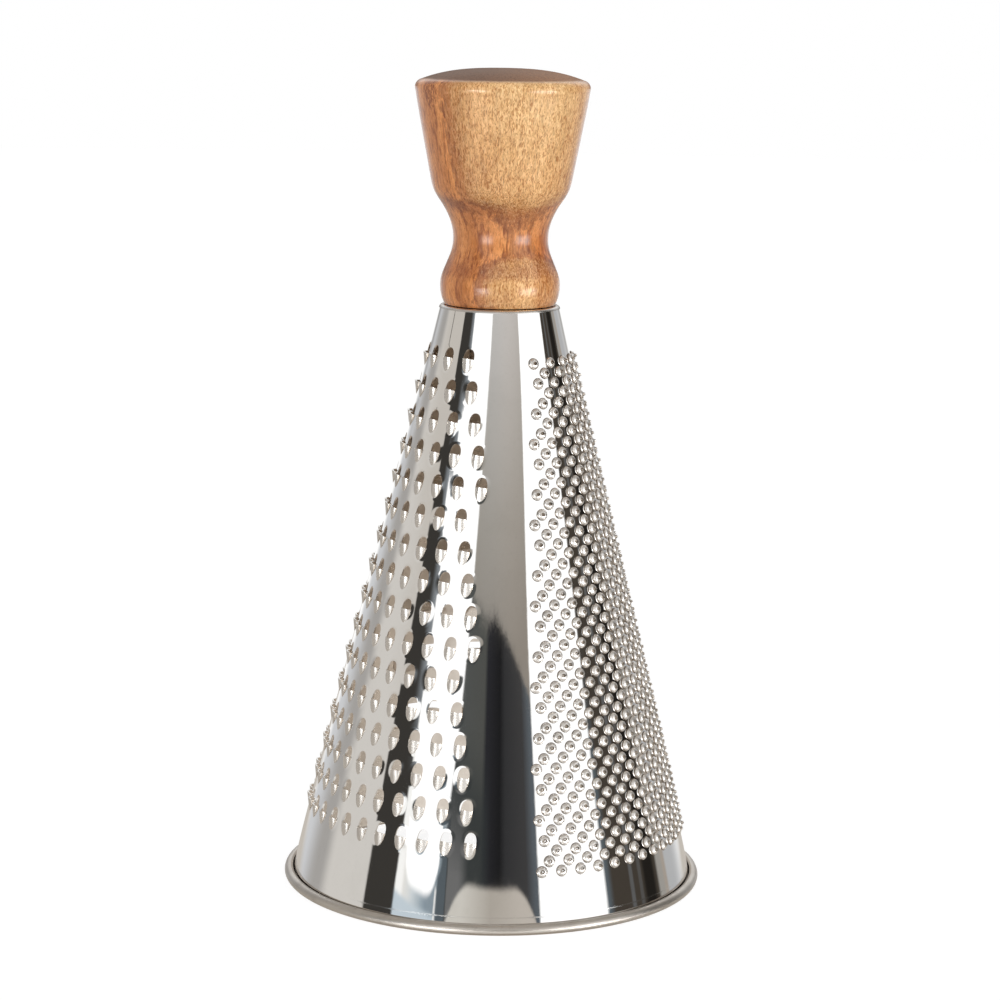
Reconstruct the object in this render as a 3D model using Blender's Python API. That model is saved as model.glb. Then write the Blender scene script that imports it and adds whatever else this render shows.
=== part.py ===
"""Conical stainless-steel grater with a turned wooden handle.

The grater stands on its curled hem at z = 0, with its axis along +Z. A rolled and
welded cone carries three grating zones: coarse teeth on one side of the plain front
strip, fine rasp points on the other side, and slicing slots at the back. A screw
inside the cone draws a clamp plate up against the top flange, and the flange is held
between that plate and the foot of the handle. All sizes are in metres.

Angles run about the axis: zero is the front (-Y) and positive turns towards +X. A
slant is a distance down the cone's side, measured from the cone's apex.
"""

import math
from dataclasses import dataclass

import bmesh
import bpy
from mathutils import Vector
from mathutils.geometry import delaunay_2d_cdt, interpolate_bezier

# Fits
SEAT_GAP = 0.0003
SCREW_CLEARANCE = 0.0005

# Cone, of sheet steel
SHEET = 0.0005
CONE_HEIGHT = 0.1795
CONE_FOOT_RADIUS = 0.0625
CONE_TOP_RADIUS = 0.01825
SHOULDER_RADIUS = 0.0012
MOUTH_RADIUS = 0.0135
HEM_RADIUS = 0.0016
HEM_GAP = 0.0005
SEAM_ANGLE = 120.0
CONE_STEPS = 48
HEM_HALF_STEP = 30.0
SHOULDER_STEPS = 2

# Plain band below the grating zones, and lines that keep the plain strips round
CUTTER_FOOT_BAND = 0.015
LINE_CLEARANCE = 0.0008
LINE_LEAST_LENGTH = 0.015

# Coarse teeth, each with a punched hole above its lip and a scoop below it
TOOTH_TOP_BAND = 0.01198
TOOTH_HOLE_HEIGHT = 0.0030
TOOTH_HOLE_WIDTH = 0.0020
TOOTH_LIP_WIDTH = 0.0036
TOOTH_EDGE_WIDTH = 0.0020
TOOTH_SCOOP_LENGTH = 0.0042
TOOTH_RISE = 0.0014
TOOTH_LAND = 0.00366
TOOTH_ROW_LAND = 0.00236
TOOTH_ROW_SHIFT = 0.001253
TOOTH_START = 0.00859
TOOTH_EDGE = 0.0035
TOOTH_NEAR_ANGLE = -2.0
TOOTH_FAR_ANGLE = -114.6

# Fine rasp points
POINT_TOP_BAND = 0.01436
POINT_SIZE = 0.0036
POINT_RISE = 0.0013
POINT_LAND = 0.00255
POINT_ROW_PITCH = 0.003015
POINT_ROW_SHIFT = 0.002319
POINT_START = 0.00874
POINT_EDGE = 0.0082
POINT_NEAR_ANGLE = 5.4
POINT_FAR_ANGLE = 118.0
POINT_SIDES = 3

# Slicing slots
SLOT_TOP_BAND = 0.013
SLOT_WIDTH = 0.018
SLOT_HOLE_HEIGHT = 0.0032
SLOT_RAMP_LENGTH = 0.0060
SLOT_RISE = 0.0015
SLOT_LAND = 0.0075
SLOT_ROW_LAND = 0.0120
SLOT_NEAR_ANGLE = -234.6
SLOT_FAR_ANGLE = -122.0
SLOT_ACROSS_SHARES = (-0.5, 0.0, 0.5)

# Far edge of the unseen side of each zone
FAR_EDGE = 0.0070

# Handle, of turned wood
HANDLE_LENGTH = 0.0712
FOOT_RADIUS = 0.0171
BULGE_RADIUS = 0.0183
BULGE_HEIGHT = 0.0052
NECK_RADIUS = 0.0145
NECK_HEIGHT = 0.0196
GRIP_CORNER_RADIUS = 0.0209
GRIP_CORNER_HEIGHT = 0.0354
GRIP_TOP_RADIUS = 0.0265
GRIP_TOP_HEIGHT = 0.0650
TOP_ROUND = 0.0026
FOOT_LEAN = 0.5
CORNER_LEAN = 0.4
HANDLE_STEPS = 48
CURVE_STEPS = 5
ROUND_STEPS = 3
DOME_STEPS = 3

# Threaded insert, pressed into the handle's foot
INSERT_RADIUS = 0.0040
INSERT_LENGTH = 0.0130
INSERT_FLANGE_RADIUS = 0.0060
INSERT_FLANGE = 0.0012
DRILL_RELIEF = 0.0020

# Fastening inside the cone
PLATE_RADIUS = 0.0160
PLATE_THICKNESS = 0.0015
WASHER_RADIUS = 0.0046
WASHER_THICKNESS = 0.0012
WASHER_SPLIT = 20.0
SCREW_RADIUS = 0.0022
SCREW_REACH = 0.0110
SCREW_HEAD_RADIUS = 0.0048
SCREW_HEAD_HEIGHT = 0.0030
SCREW_HEAD_ROUND = 0.0010
SOCKET_RADIUS = 0.0019
SOCKET_DEPTH = 0.0017
CUT_OVERRUN = 0.0010
SMALL_STEPS = 24
EDGE_BREAK = 0.0003

# Shading: edges sharper than this angle stay crisp
SHARP_ANGLE = 35.0

# Directions and distances of the cone
HALF_ANGLE = math.atan((CONE_FOOT_RADIUS - CONE_TOP_RADIUS) / CONE_HEIGHT)
SINE = math.sin(HALF_ANGLE)
COSINE = math.cos(HALF_ANGLE)
APEX_HEIGHT = CONE_FOOT_RADIUS / math.tan(HALF_ANGLE)
TOP_SLANT = CONE_TOP_RADIUS / SINE
FOOT_SLANT = CONE_FOOT_RADIUS / SINE
CUTTER_LIMIT = FOOT_SLANT - CUTTER_FOOT_BAND

# Bead of the hem: the cone's inner face runs into its outer circle
HEM_HEIGHT = HEM_RADIUS * math.cos(math.radians(HEM_HALF_STEP))
HEM_INNER_RADIUS = HEM_RADIUS - SHEET
HEM_SLANT = (APEX_HEIGHT - HEM_HEIGHT + HEM_INNER_RADIUS * SINE) / COSINE
HEM_CENTRE = HEM_SLANT * SINE + HEM_INNER_RADIUS * COSINE

# Rounded shoulder between the cone and its top flange
SHOULDER_HEIGHT = CONE_HEIGHT - SHOULDER_RADIUS
SHOULDER_SLANT = (APEX_HEIGHT - SHOULDER_HEIGHT - SHOULDER_RADIUS * SINE) / COSINE
SHOULDER_CENTRE = SHOULDER_SLANT * SINE - SHOULDER_RADIUS * COSINE

# Heights of the stacked pieces
HANDLE_FOOT = CONE_HEIGHT + SEAT_GAP
FLANGE_UNDERSIDE = CONE_HEIGHT - SHEET
PLATE_TOP = FLANGE_UNDERSIDE - SEAT_GAP
WASHER_TOP = PLATE_TOP - PLATE_THICKNESS - SEAT_GAP
SCREW_SEAT = WASHER_TOP - WASHER_THICKNESS - SEAT_GAP


@dataclass(frozen=True)
class Zone:
    """Stretch of the cone that one kind of cutter covers, between two angles."""

    near: float
    far: float
    near_edge: float
    far_edge: float
    half_width: float

    def width(self, slant):
        """Arc length between the outermost cutter middles at a slant."""
        return abs(self.far - self.near) * slant * SINE - self.near_edge - self.far_edge

    def angle(self, slant, distance):
        """Angle of a place that lies a given arc length in from the near line."""
        turn = math.copysign(distance / (slant * SINE), self.far - self.near)
        return self.near + turn

    def clear_slant(self, angle):
        """Slant down to which a line straight down the cone stays clear of the cutters."""
        low, high = sorted((self.near, self.far))
        turn = (angle - low) % math.tau
        if turn >= high - low:
            return math.inf
        from_near = turn if self.near < self.far else high - low - turn
        margin = self.half_width + LINE_CLEARANCE
        near_limit = (self.near_edge - margin) / (max(from_near, math.ulp(1.0)) * SINE)
        from_far = max(high - low - from_near, math.ulp(1.0))
        return max(near_limit, (self.far_edge - margin) / (from_far * SINE))


class Drawing:
    """Flat drawing of one face of the unrolled sheet, as points and lines."""

    def __init__(self):
        self.points = []
        self.lines = []
        self.holes = []
        self.twins = {}

    def point(self, angle, slant, rise=0.0):
        """Add a point and return its number."""
        self.points.append((angle, slant, rise))
        return len(self.points) - 1

    def run(self, numbers, closed=False):
        """Add a run of lines through points."""
        ends = numbers[1:] + numbers[:1] if closed else numbers[1:]
        self.lines.extend(zip(numbers, ends))

    def shape(self, angle, slant, outline):
        """Add an outline of (across, up, rise) points about a place and return their numbers."""
        numbers = []
        for across, up, rise in outline:
            level = slant - up
            numbers.append(self.point(angle + across / (level * SINE), level, rise))
        return numbers

    def cutter(self, angle, slant, hole, scoop):
        """Add a hole, and the scoop that runs below its lip from one end of the lip to the other."""
        loop = self.shape(angle, slant, hole)
        self.run(loop, closed=True)
        self.holes.append(loop)
        below = self.shape(angle, slant, scoop)
        lip_end = max(range(len(hole)), key=lambda i: hole[i][0])
        self.run([loop[0]] + below + [loop[lip_end]])

    def faces(self):
        """Triangles of the drawing, as point numbers, without those inside a hole."""
        flat = [Vector((angle * SINE, -math.log(slant / HEM_SLANT))) for angle, slant, rise in self.points]
        result = delaunay_2d_cdt(flat, self.lines, [], 0, math.ulp(1.0))
        sources = result[3]
        hole_of = {number: index for index, loop in enumerate(self.holes) for number in loop}
        kept = []
        for face in result[2]:
            numbers = [sources[corner][0] for corner in face]
            owners = {hole_of.get(number) for number in numbers}
            if len(owners) > 1 or None in owners:
                kept.append([self.twins.get(number, number) for number in numbers])
        return kept


def tooth_outline():
    """Hole and scoop of a coarse tooth about the middle of its lip."""
    base = TOOTH_LIP_WIDTH / 2
    edge = TOOTH_EDGE_WIDTH / 2
    top = TOOTH_HOLE_WIDTH / 2
    hole = [(-base, 0.0, 0.0), (-edge, 0.0, TOOTH_RISE), (edge, 0.0, TOOTH_RISE), (base, 0.0, 0.0)]
    hole += [(top, TOOTH_HOLE_HEIGHT, 0.0), (-top, TOOTH_HOLE_HEIGHT, 0.0)]
    return hole, [(0.0, -TOOTH_SCOOP_LENGTH, 0.0)]


def slot_outline():
    """Hole and ramp of a slicing slot about the middle of its lip."""
    base = SLOT_WIDTH / 2
    places = [share * SLOT_WIDTH / 2 for share in SLOT_ACROSS_SHARES]
    hole = [(-base, 0.0, 0.0)] + [(across, 0.0, SLOT_RISE) for across in places] + [(base, 0.0, 0.0)]
    hole += [(across, SLOT_HOLE_HEIGHT, 0.0) for across in reversed(places)]
    return hole, [(across, -SLOT_RAMP_LENGTH, 0.0) for across in places]


def rows(top_band, before, after, pitch):
    """Slants of the rows that fit between the cone's top band and its foot band."""
    slant = TOP_SLANT + top_band + before
    while slant + after <= CUTTER_LIMIT:
        yield slant
        slant += pitch


def staggered_places(zone, row_slants, pitch, start, shift):
    """Places of a pattern whose rows are each shifted towards the zone's near edge."""
    for row, slant in enumerate(row_slants):
        first = (start - row * shift - zone.near_edge) % pitch
        count = int((zone.width(slant) - first) / pitch) + 1
        for column in range(count):
            yield zone.angle(slant, zone.near_edge + first + column * pitch), slant


def centred_places(zone, row_slants, pitch):
    """Places of a pattern whose rows are each centred in the zone."""
    for slant in row_slants:
        width = zone.width(slant)
        count = int(width / pitch) + 1
        first = (width - (count - 1) * pitch) / 2
        for column in range(count):
            yield zone.angle(slant, zone.near_edge + first + column * pitch), slant


TOOTH_ZONE = Zone(math.radians(TOOTH_NEAR_ANGLE), math.radians(TOOTH_FAR_ANGLE), TOOTH_EDGE, FAR_EDGE,
                  TOOTH_LIP_WIDTH / 2)
POINT_ZONE = Zone(math.radians(POINT_NEAR_ANGLE), math.radians(POINT_FAR_ANGLE), POINT_EDGE, FAR_EDGE,
                  POINT_SIZE / 2)
SLOT_ZONE = Zone(math.radians(SLOT_NEAR_ANGLE), math.radians(SLOT_FAR_ANGLE), FAR_EDGE + SLOT_WIDTH / 2,
                 FAR_EDGE + SLOT_WIDTH / 2, SLOT_WIDTH / 2)


def ring_angles():
    """Angles of the cone's rings, from the welded seam once round to the seam again."""
    start = math.radians(SEAM_ANGLE) - math.tau
    return [start + math.tau * step / CONE_STEPS for step in range(CONE_STEPS + 1)]


def add_rings(drawing, zones):
    """Add the rings at the shoulder and the hem, and the lines down the plain strips."""
    tops = []
    hems = []
    for angle in ring_angles():
        tops.append(drawing.point(angle, SHOULDER_SLANT))
        hems.append(drawing.point(angle, HEM_SLANT))
        depth = min(zone.clear_slant(angle) for zone in zones)
        if depth >= CUTTER_LIMIT:
            drawing.run([tops[-1], hems[-1]])
        elif depth > SHOULDER_SLANT + LINE_LEAST_LENGTH:
            drawing.run([tops[-1], drawing.point(angle, depth)])
    drawing.run(tops)
    drawing.run(hems)
    drawing.twins.update({tops[-1]: tops[0], hems[-1]: hems[0]})
    return tops[:-1], hems[:-1]


def add_openings(drawing):
    """Add the teeth and slots, which go through the sheet."""
    hole, scoop = tooth_outline()
    pitch = TOOTH_HOLE_HEIGHT + TOOTH_SCOOP_LENGTH + TOOTH_ROW_LAND
    levels = rows(TOOTH_TOP_BAND, TOOTH_HOLE_HEIGHT, TOOTH_SCOOP_LENGTH, pitch)
    across = TOOTH_LIP_WIDTH + TOOTH_LAND
    for angle, slant in staggered_places(TOOTH_ZONE, levels, across, TOOTH_START, TOOTH_ROW_SHIFT):
        drawing.cutter(angle, slant, hole, scoop)
    hole, ramp = slot_outline()
    pitch = SLOT_HOLE_HEIGHT + SLOT_RAMP_LENGTH + SLOT_ROW_LAND
    levels = rows(SLOT_TOP_BAND, SLOT_HOLE_HEIGHT, SLOT_RAMP_LENGTH, pitch)
    for angle, slant in centred_places(SLOT_ZONE, levels, SLOT_WIDTH + SLOT_LAND):
        drawing.cutter(angle, slant, hole, ramp)


def add_points(drawing):
    """Add the rasp points, which stand out of the outer face only."""
    radius = POINT_SIZE / 2
    turns = [math.tau * (side / POINT_SIDES) + math.pi / 2 for side in range(POINT_SIDES)]
    outline = [(radius * math.cos(turn), radius * math.sin(turn), 0.0) for turn in turns]
    levels = rows(POINT_TOP_BAND, radius, radius, POINT_ROW_PITCH)
    across = POINT_SIZE + POINT_LAND
    for angle, slant in staggered_places(POINT_ZONE, levels, across, POINT_START, POINT_ROW_SHIFT):
        drawing.run(drawing.shape(angle, slant, outline), closed=True)
        drawing.point(angle, slant, POINT_RISE)


def rolled(angle, slant, rise):
    """Place on the cone of a point of the flat drawing."""
    radius = slant * SINE + rise * COSINE
    height = APEX_HEIGHT - slant * COSINE + rise * SINE
    return turned(angle, radius, height)


def turned(angle, radius, height):
    """Place at an angle about the axis."""
    return Vector((radius * math.sin(angle), -radius * math.cos(angle), height))


def arc(centre, height, radius, angles):
    """Points (radius from the axis, height) on a small circle, at angles up from straight out."""
    return [(centre + radius * math.cos(a), height + radius * math.sin(a)) for a in angles]


def hem_profile():
    """Curl of the hem, from the cone's outer face round to its inner face."""
    half_step = math.radians(HEM_HALF_STEP)
    bottom = 1.5 * math.pi
    end = HALF_ANGLE + math.tau + math.acos((HEM_GAP - HEM_INNER_RADIUS) / HEM_RADIUS)
    angles = [bottom - half_step]
    while angles[-1] + 2 * half_step < end - half_step / 2:
        angles.append(angles[-1] + 2 * half_step)
    angles.append(end)
    inside = arc(HEM_CENTRE, HEM_HEIGHT, HEM_INNER_RADIUS, angles)
    outside = arc(HEM_CENTRE, HEM_HEIGHT, HEM_RADIUS, angles)
    return inside + outside[::-1]


def shoulder_profile():
    """Shoulder and top flange, from the cone's outer face round to its inner face."""
    turn = math.pi / 2 - HALF_ANGLE
    angles = [HALF_ANGLE + turn * step / SHOULDER_STEPS for step in range(1, SHOULDER_STEPS + 1)]
    outside = arc(SHOULDER_CENTRE, SHOULDER_HEIGHT, SHOULDER_RADIUS, angles)
    inside = arc(SHOULDER_CENTRE, SHOULDER_HEIGHT, SHOULDER_RADIUS - SHEET, angles)
    return outside + [(MOUTH_RADIUS, CONE_HEIGHT), (MOUTH_RADIUS, FLANGE_UNDERSIDE)] + inside[::-1]


def bridge(mesh, first, second):
    """Join two rings of the same number of vertices."""
    for index, vertex in enumerate(first):
        following = (index + 1) % len(first)
        mesh.faces.new((vertex, first[following], second[following], second[index]))


def add_skin(mesh, drawing, depth):
    """Roll a drawing into the cone at a depth below its outer face and return its vertices."""
    vertices = {}
    for face in drawing.faces():
        for number in face:
            if number not in vertices:
                angle, slant, rise = drawing.points[number]
                vertices[number] = mesh.verts.new(rolled(angle, slant, rise - depth))
        mesh.faces.new([vertices[number] for number in face])
    return vertices


def add_folds(mesh, outer_ring, inner_ring, profile):
    """Join the two faces of the sheet through a folded profile."""
    last = outer_ring
    for radius, height in profile:
        ring = [mesh.verts.new(turned(angle, radius, height)) for angle in ring_angles()[:-1]]
        bridge(mesh, last, ring)
        last = ring
    bridge(mesh, last, inner_ring)


def finish(mesh, name, material, parent, height=0.0):
    """Turn a bmesh into an object, smooth but for its sharp edges, at a height."""
    bmesh.ops.recalc_face_normals(mesh, faces=mesh.faces)
    data = bpy.data.meshes.new(name)
    mesh.to_mesh(data)
    mesh.free()
    data.shade_smooth()
    data.set_sharp_from_angle(angle=math.radians(SHARP_ANGLE))
    data.materials.append(material)
    piece = bpy.data.objects.new(name, data)
    piece.location.z = height
    piece.parent = parent
    bpy.context.collection.objects.link(piece)
    return piece


def make_material(name, colour, metallic, roughness):
    """Plain material of one colour."""
    material = bpy.data.materials.new(name)
    material.use_nodes = True
    shader = material.node_tree.nodes["Principled BSDF"]
    shader.inputs["Base Color"].default_value = (*colour, 1.0)
    shader.inputs["Metallic"].default_value = metallic
    shader.inputs["Roughness"].default_value = roughness
    return material


def make_cone(parent):
    """Sheet-metal cone with its cutters, top flange and curled hem."""
    outer = Drawing()
    outer_tops, outer_hems = add_rings(outer, (TOOTH_ZONE, POINT_ZONE, SLOT_ZONE))
    add_openings(outer)
    add_points(outer)
    inner = Drawing()
    inner_tops, inner_hems = add_rings(inner, (TOOTH_ZONE, SLOT_ZONE))
    add_openings(inner)
    mesh = bmesh.new()
    outside = add_skin(mesh, outer, 0.0)
    inside = add_skin(mesh, inner, SHEET)
    for outer_loop, inner_loop in zip(outer.holes, inner.holes):
        bridge(mesh, [outside[n] for n in outer_loop], [inside[n] for n in inner_loop])
    add_folds(mesh, [outside[n] for n in outer_hems], [inside[n] for n in inner_hems], hem_profile())
    add_folds(mesh, [outside[n] for n in outer_tops], [inside[n] for n in inner_tops], shoulder_profile())
    steel = make_material("polished_steel", (0.66, 0.65, 0.63), 1.0, 0.12)
    return finish(mesh, "grating_cone", steel, parent)


def lathe(name, profile, steps, material, parent, height=0.0):
    """Turn a profile of (radius, height) points about the axis; points on the axis close it."""
    mesh = bmesh.new()
    angles = [math.tau * step / steps for step in range(steps)]
    rings = []
    for radius, level in profile:
        if radius == 0.0:
            rings.append([mesh.verts.new((0.0, 0.0, level))] * steps)
        else:
            rings.append([mesh.verts.new(turned(angle, radius, level)) for angle in angles])
    closed = profile[0][0] > 0.0
    for first, second in zip(rings, rings[1:] + rings[:1] if closed else rings[1:]):
        for index in range(steps):
            following = (index + 1) % steps
            corners = [first[index], first[following], second[following], second[index]]
            mesh.faces.new(list(dict.fromkeys(corners)))
    return finish(mesh, name, material, parent, height)


def curve(start, start_lean, end_lean, end, steps):
    """Smooth run from start up to, but not including, end; a lean is radius gained per height."""
    reach = (end[1] - start[1]) / 3
    leave = Vector((start[0] + start_lean * reach, start[1] + reach, 0.0))
    arrive = Vector((end[0] - end_lean * reach, end[1] - reach, 0.0))
    points = interpolate_bezier((*start, 0.0), leave, arrive, (*end, 0.0), steps + 1)
    return [(point.x, point.y) for point in points[:-1]]


def handle_side():
    """Outer side of the handle, from its foot up to the start of its top round."""
    foot = (FOOT_RADIUS, 0.0)
    bulge = (BULGE_RADIUS, BULGE_HEIGHT)
    neck = (NECK_RADIUS, NECK_HEIGHT)
    corner = (GRIP_CORNER_RADIUS, GRIP_CORNER_HEIGHT)
    top = (GRIP_TOP_RADIUS, GRIP_TOP_HEIGHT)
    flare = (top[0] - corner[0]) / (top[1] - corner[1])
    side = curve(foot, FOOT_LEAN, 0.0, bulge, CURVE_STEPS // 2)
    side += curve(bulge, 0.0, 0.0, neck, CURVE_STEPS)
    side += curve(neck, 0.0, CORNER_LEAN, corner, CURVE_STEPS)
    side += curve(corner, CORNER_LEAN, flare / 2, top, CURVE_STEPS)
    return side


def handle_top():
    """Rounded edge and low dome of the handle's top, ending on the axis."""
    centre = GRIP_TOP_RADIUS - TOP_ROUND
    turns = [math.pi / 2 * step / (ROUND_STEPS + 1) for step in range(ROUND_STEPS + 1)]
    edge = arc(centre, GRIP_TOP_HEIGHT, TOP_ROUND, turns)
    radius, height = edge[-1]
    dome = []
    for step in range(1, DOME_STEPS + 1):
        share = 1.0 - step / DOME_STEPS
        dome.append((radius * share, HANDLE_LENGTH - (HANDLE_LENGTH - height) * share ** 2))
    return edge + dome


def make_handle(parent):
    """Turned handle with a spigot that centres in the cone's mouth and a bore for the insert."""
    spigot = MOUTH_RADIUS - SEAT_GAP
    spigot_foot = FLANGE_UNDERSIDE - HANDLE_FOOT
    recess = INSERT_FLANGE_RADIUS + SEAT_GAP
    recess_top = spigot_foot + INSERT_FLANGE + SEAT_GAP
    bore = INSERT_RADIUS + SEAT_GAP
    bore_top = spigot_foot + INSERT_LENGTH + DRILL_RELIEF
    bottom = [(0.0, bore_top), (bore, bore_top), (bore, recess_top), (recess, recess_top)]
    bottom += [(recess, spigot_foot), (spigot, spigot_foot), (spigot, 0.0)]
    wood = make_material("oiled_wood", (0.46, 0.20, 0.065), 0.0, 0.42)
    return lathe("handle", bottom + handle_side() + handle_top(), HANDLE_STEPS, wood, parent, HANDLE_FOOT)


def make_insert(parent):
    """Brass sleeve whose flange sits in the handle's spigot."""
    bore = SCREW_RADIUS + SEAT_GAP
    profile = [(bore, 0.0), (INSERT_FLANGE_RADIUS, 0.0), (INSERT_FLANGE_RADIUS, INSERT_FLANGE)]
    profile += [(INSERT_RADIUS, INSERT_FLANGE), (INSERT_RADIUS, INSERT_LENGTH - EDGE_BREAK)]
    profile += [(INSERT_RADIUS - EDGE_BREAK, INSERT_LENGTH), (bore, INSERT_LENGTH)]
    brass = make_material("brass", (0.72, 0.50, 0.20), 1.0, 0.3)
    return lathe("handle_insert", profile, SMALL_STEPS, brass, parent, FLANGE_UNDERSIDE)


def make_plate(parent):
    """Pressed steel disc under the flange, with its edges broken."""
    hole = SCREW_RADIUS + SCREW_CLEARANCE
    rim = PLATE_RADIUS - EDGE_BREAK
    profile = [(hole, -PLATE_THICKNESS), (rim, -PLATE_THICKNESS), (PLATE_RADIUS, EDGE_BREAK - PLATE_THICKNESS)]
    profile += [(PLATE_RADIUS, -EDGE_BREAK), (rim, 0.0), (hole, 0.0)]
    zinc = make_material("zinc_plate", (0.55, 0.55, 0.56), 1.0, 0.35)
    return lathe("clamp_plate", profile, HANDLE_STEPS, zinc, parent, PLATE_TOP)


def make_washer(parent):
    """Split spring washer, drawn up flat."""
    mesh = bmesh.new()
    hole = SCREW_RADIUS + SCREW_CLEARANCE
    section = [(hole, 0.0), (hole, -WASHER_THICKNESS), (WASHER_RADIUS, -WASHER_THICKNESS), (WASHER_RADIUS, 0.0)]
    sweep = math.tau - math.radians(WASHER_SPLIT)
    angles = [sweep * step / SMALL_STEPS for step in range(SMALL_STEPS + 1)]
    rings = [[mesh.verts.new(turned(angle, *corner)) for corner in section] for angle in angles]
    for first, second in zip(rings, rings[1:]):
        bridge(mesh, first, second)
    mesh.faces.new(rings[0])
    mesh.faces.new(rings[-1])
    spring_steel = make_material("spring_steel", (0.32, 0.32, 0.33), 1.0, 0.4)
    return finish(mesh, "spring_washer", spring_steel, parent, WASHER_TOP)


def make_screw(parent):
    """Button-head screw with a hexagon socket, entered from inside the cone."""
    tip = FLANGE_UNDERSIDE - SCREW_SEAT + SCREW_REACH
    neck = SCREW_HEAD_RADIUS - SCREW_HEAD_ROUND
    profile = [(0.0, -SCREW_HEAD_HEIGHT), (neck, -SCREW_HEAD_HEIGHT)]
    profile += [(SCREW_HEAD_RADIUS, SCREW_HEAD_ROUND - SCREW_HEAD_HEIGHT), (SCREW_HEAD_RADIUS, 0.0)]
    profile += [(SCREW_RADIUS, 0.0), (SCREW_RADIUS, tip - EDGE_BREAK), (SCREW_RADIUS - EDGE_BREAK, tip)]
    profile += [(0.0, tip)]
    steel = make_material("screw_steel", (0.50, 0.50, 0.51), 1.0, 0.3)
    screw = lathe("handle_screw", profile, SMALL_STEPS, steel, parent, SCREW_SEAT)
    depth = SOCKET_DEPTH + CUT_OVERRUN
    bpy.ops.mesh.primitive_cylinder_add(vertices=6, radius=SOCKET_RADIUS, depth=depth)
    cutter = bpy.context.object
    cutter.name = "socket_cutter"
    cutter.location.z = SCREW_SEAT - SCREW_HEAD_HEIGHT + SOCKET_DEPTH - depth / 2
    cutter.parent = parent
    cutter.hide_render = True
    cutter.display_type = "WIRE"
    cut = screw.modifiers.new("socket", "BOOLEAN")
    cut.operation = "DIFFERENCE"
    cut.solver = "EXACT"
    cut.object = cutter
    return screw


def main():
    """Build the grater."""
    for item in list(bpy.data.objects):
        bpy.data.objects.remove(item, do_unlink=True)
    grater = bpy.data.objects.new("grater", None)
    bpy.context.collection.objects.link(grater)
    for make in (make_cone, make_handle, make_insert, make_plate, make_washer, make_screw):
        make(grater)


main()
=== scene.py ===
"""Looks of a conical steel grater with a turned wooden handle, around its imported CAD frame.

Lengths are in metres. Sizes that are angles are in degrees, unless their name says radians, and
methods work with radians. Angles run about the grater's axis: zero is the front (-Y) and positive
turns towards +X. A slant is a distance down the cone's side, measured from the cone's apex.
"""

import logging
import math
import random
from collections.abc import Callable
from dataclasses import dataclass, field
from enum import Enum, IntEnum

import bmesh
import bpy
import numpy as np
from mathutils import Matrix, Vector
from mathutils.geometry import delaunay_2d_cdt


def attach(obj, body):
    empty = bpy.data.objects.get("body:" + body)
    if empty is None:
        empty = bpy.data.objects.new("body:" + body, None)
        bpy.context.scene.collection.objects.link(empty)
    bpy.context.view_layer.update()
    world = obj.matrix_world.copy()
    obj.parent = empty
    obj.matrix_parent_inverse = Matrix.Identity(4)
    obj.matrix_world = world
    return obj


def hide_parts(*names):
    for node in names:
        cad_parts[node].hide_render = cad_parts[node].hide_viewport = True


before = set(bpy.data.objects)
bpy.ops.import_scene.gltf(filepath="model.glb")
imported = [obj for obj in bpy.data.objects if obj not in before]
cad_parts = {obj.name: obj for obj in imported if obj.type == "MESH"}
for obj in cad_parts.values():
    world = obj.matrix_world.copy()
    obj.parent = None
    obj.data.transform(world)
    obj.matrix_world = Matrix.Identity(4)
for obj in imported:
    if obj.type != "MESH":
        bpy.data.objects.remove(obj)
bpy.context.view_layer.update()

log = logging.getLogger("grater")

Pair = tuple[float, float]
Triple = tuple[float, float, float]
Profile = list[Pair]
Colour = Triple
Stops = tuple[tuple[float, Colour], ...]


class Axis(Enum):
    """Direction in which a grain or a polish runs."""

    ROUND = "round"
    ALONG = "along"
    NONE = "none"


class Face(IntEnum):
    """Finishes of the cone's sheet, as material numbers of its mesh."""

    POLISHED = 0
    DRAWN = 1
    INSIDE = 2
    SHEARED = 3
    HEM = 4
    PUNCHED = 5
    # Darker steel for creases, burrs and the hem's gap: painted shade
    CREASED = 6
    # Darkest steel round the foot of each point: painted shade
    GROOVED = 7


# Shader maths


def operator(operation: str, swapped: bool = False) -> Callable[..., "Value"]:
    """Make an operator that adds a Math node.

    Args:
        operation: The Math node's operation.
        swapped: Whether the other value comes first.

    Returns:
        The operator.
    """
    def apply(value: "Value", *others: "Value | float") -> "Value":
        """Add the node."""
        return value.tree.maths(operation, *((*others, value) if swapped else (value, *others)))

    return apply


class Value:
    """A number that changes over a surface, with Python's operators."""

    __add__ = __radd__ = operator("ADD")
    __sub__ = operator("SUBTRACT")
    __rsub__ = operator("SUBTRACT", True)
    __mul__ = __rmul__ = operator("MULTIPLY")
    __truediv__ = operator("DIVIDE")
    __abs__ = operator("ABSOLUTE")
    least = operator("MINIMUM")
    most = operator("MAXIMUM")
    sine = operator("SINE")
    arcsine = operator("ARCSINE")
    arctangent = operator("ARCTAN2")

    def __init__(self, tree: "Tree", socket: bpy.types.NodeSocket) -> None:
        """Wrap a socket of a tree."""
        self.tree = tree
        self.socket = socket

    def rise(self, low: float, high: float) -> "Value":
        """Smooth step from 0 to 1 between two levels.

        Args:
            low: Level at which the step is still 0.
            high: Level from which it is 1.

        Returns:
            The step's height.
        """
        sockets = {"Value": self, "From Min": low, "From Max": high}
        return self.tree.value("ShaderNodeMapRange", sockets, "Result", interpolation_type="SMOOTHSTEP")


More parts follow.
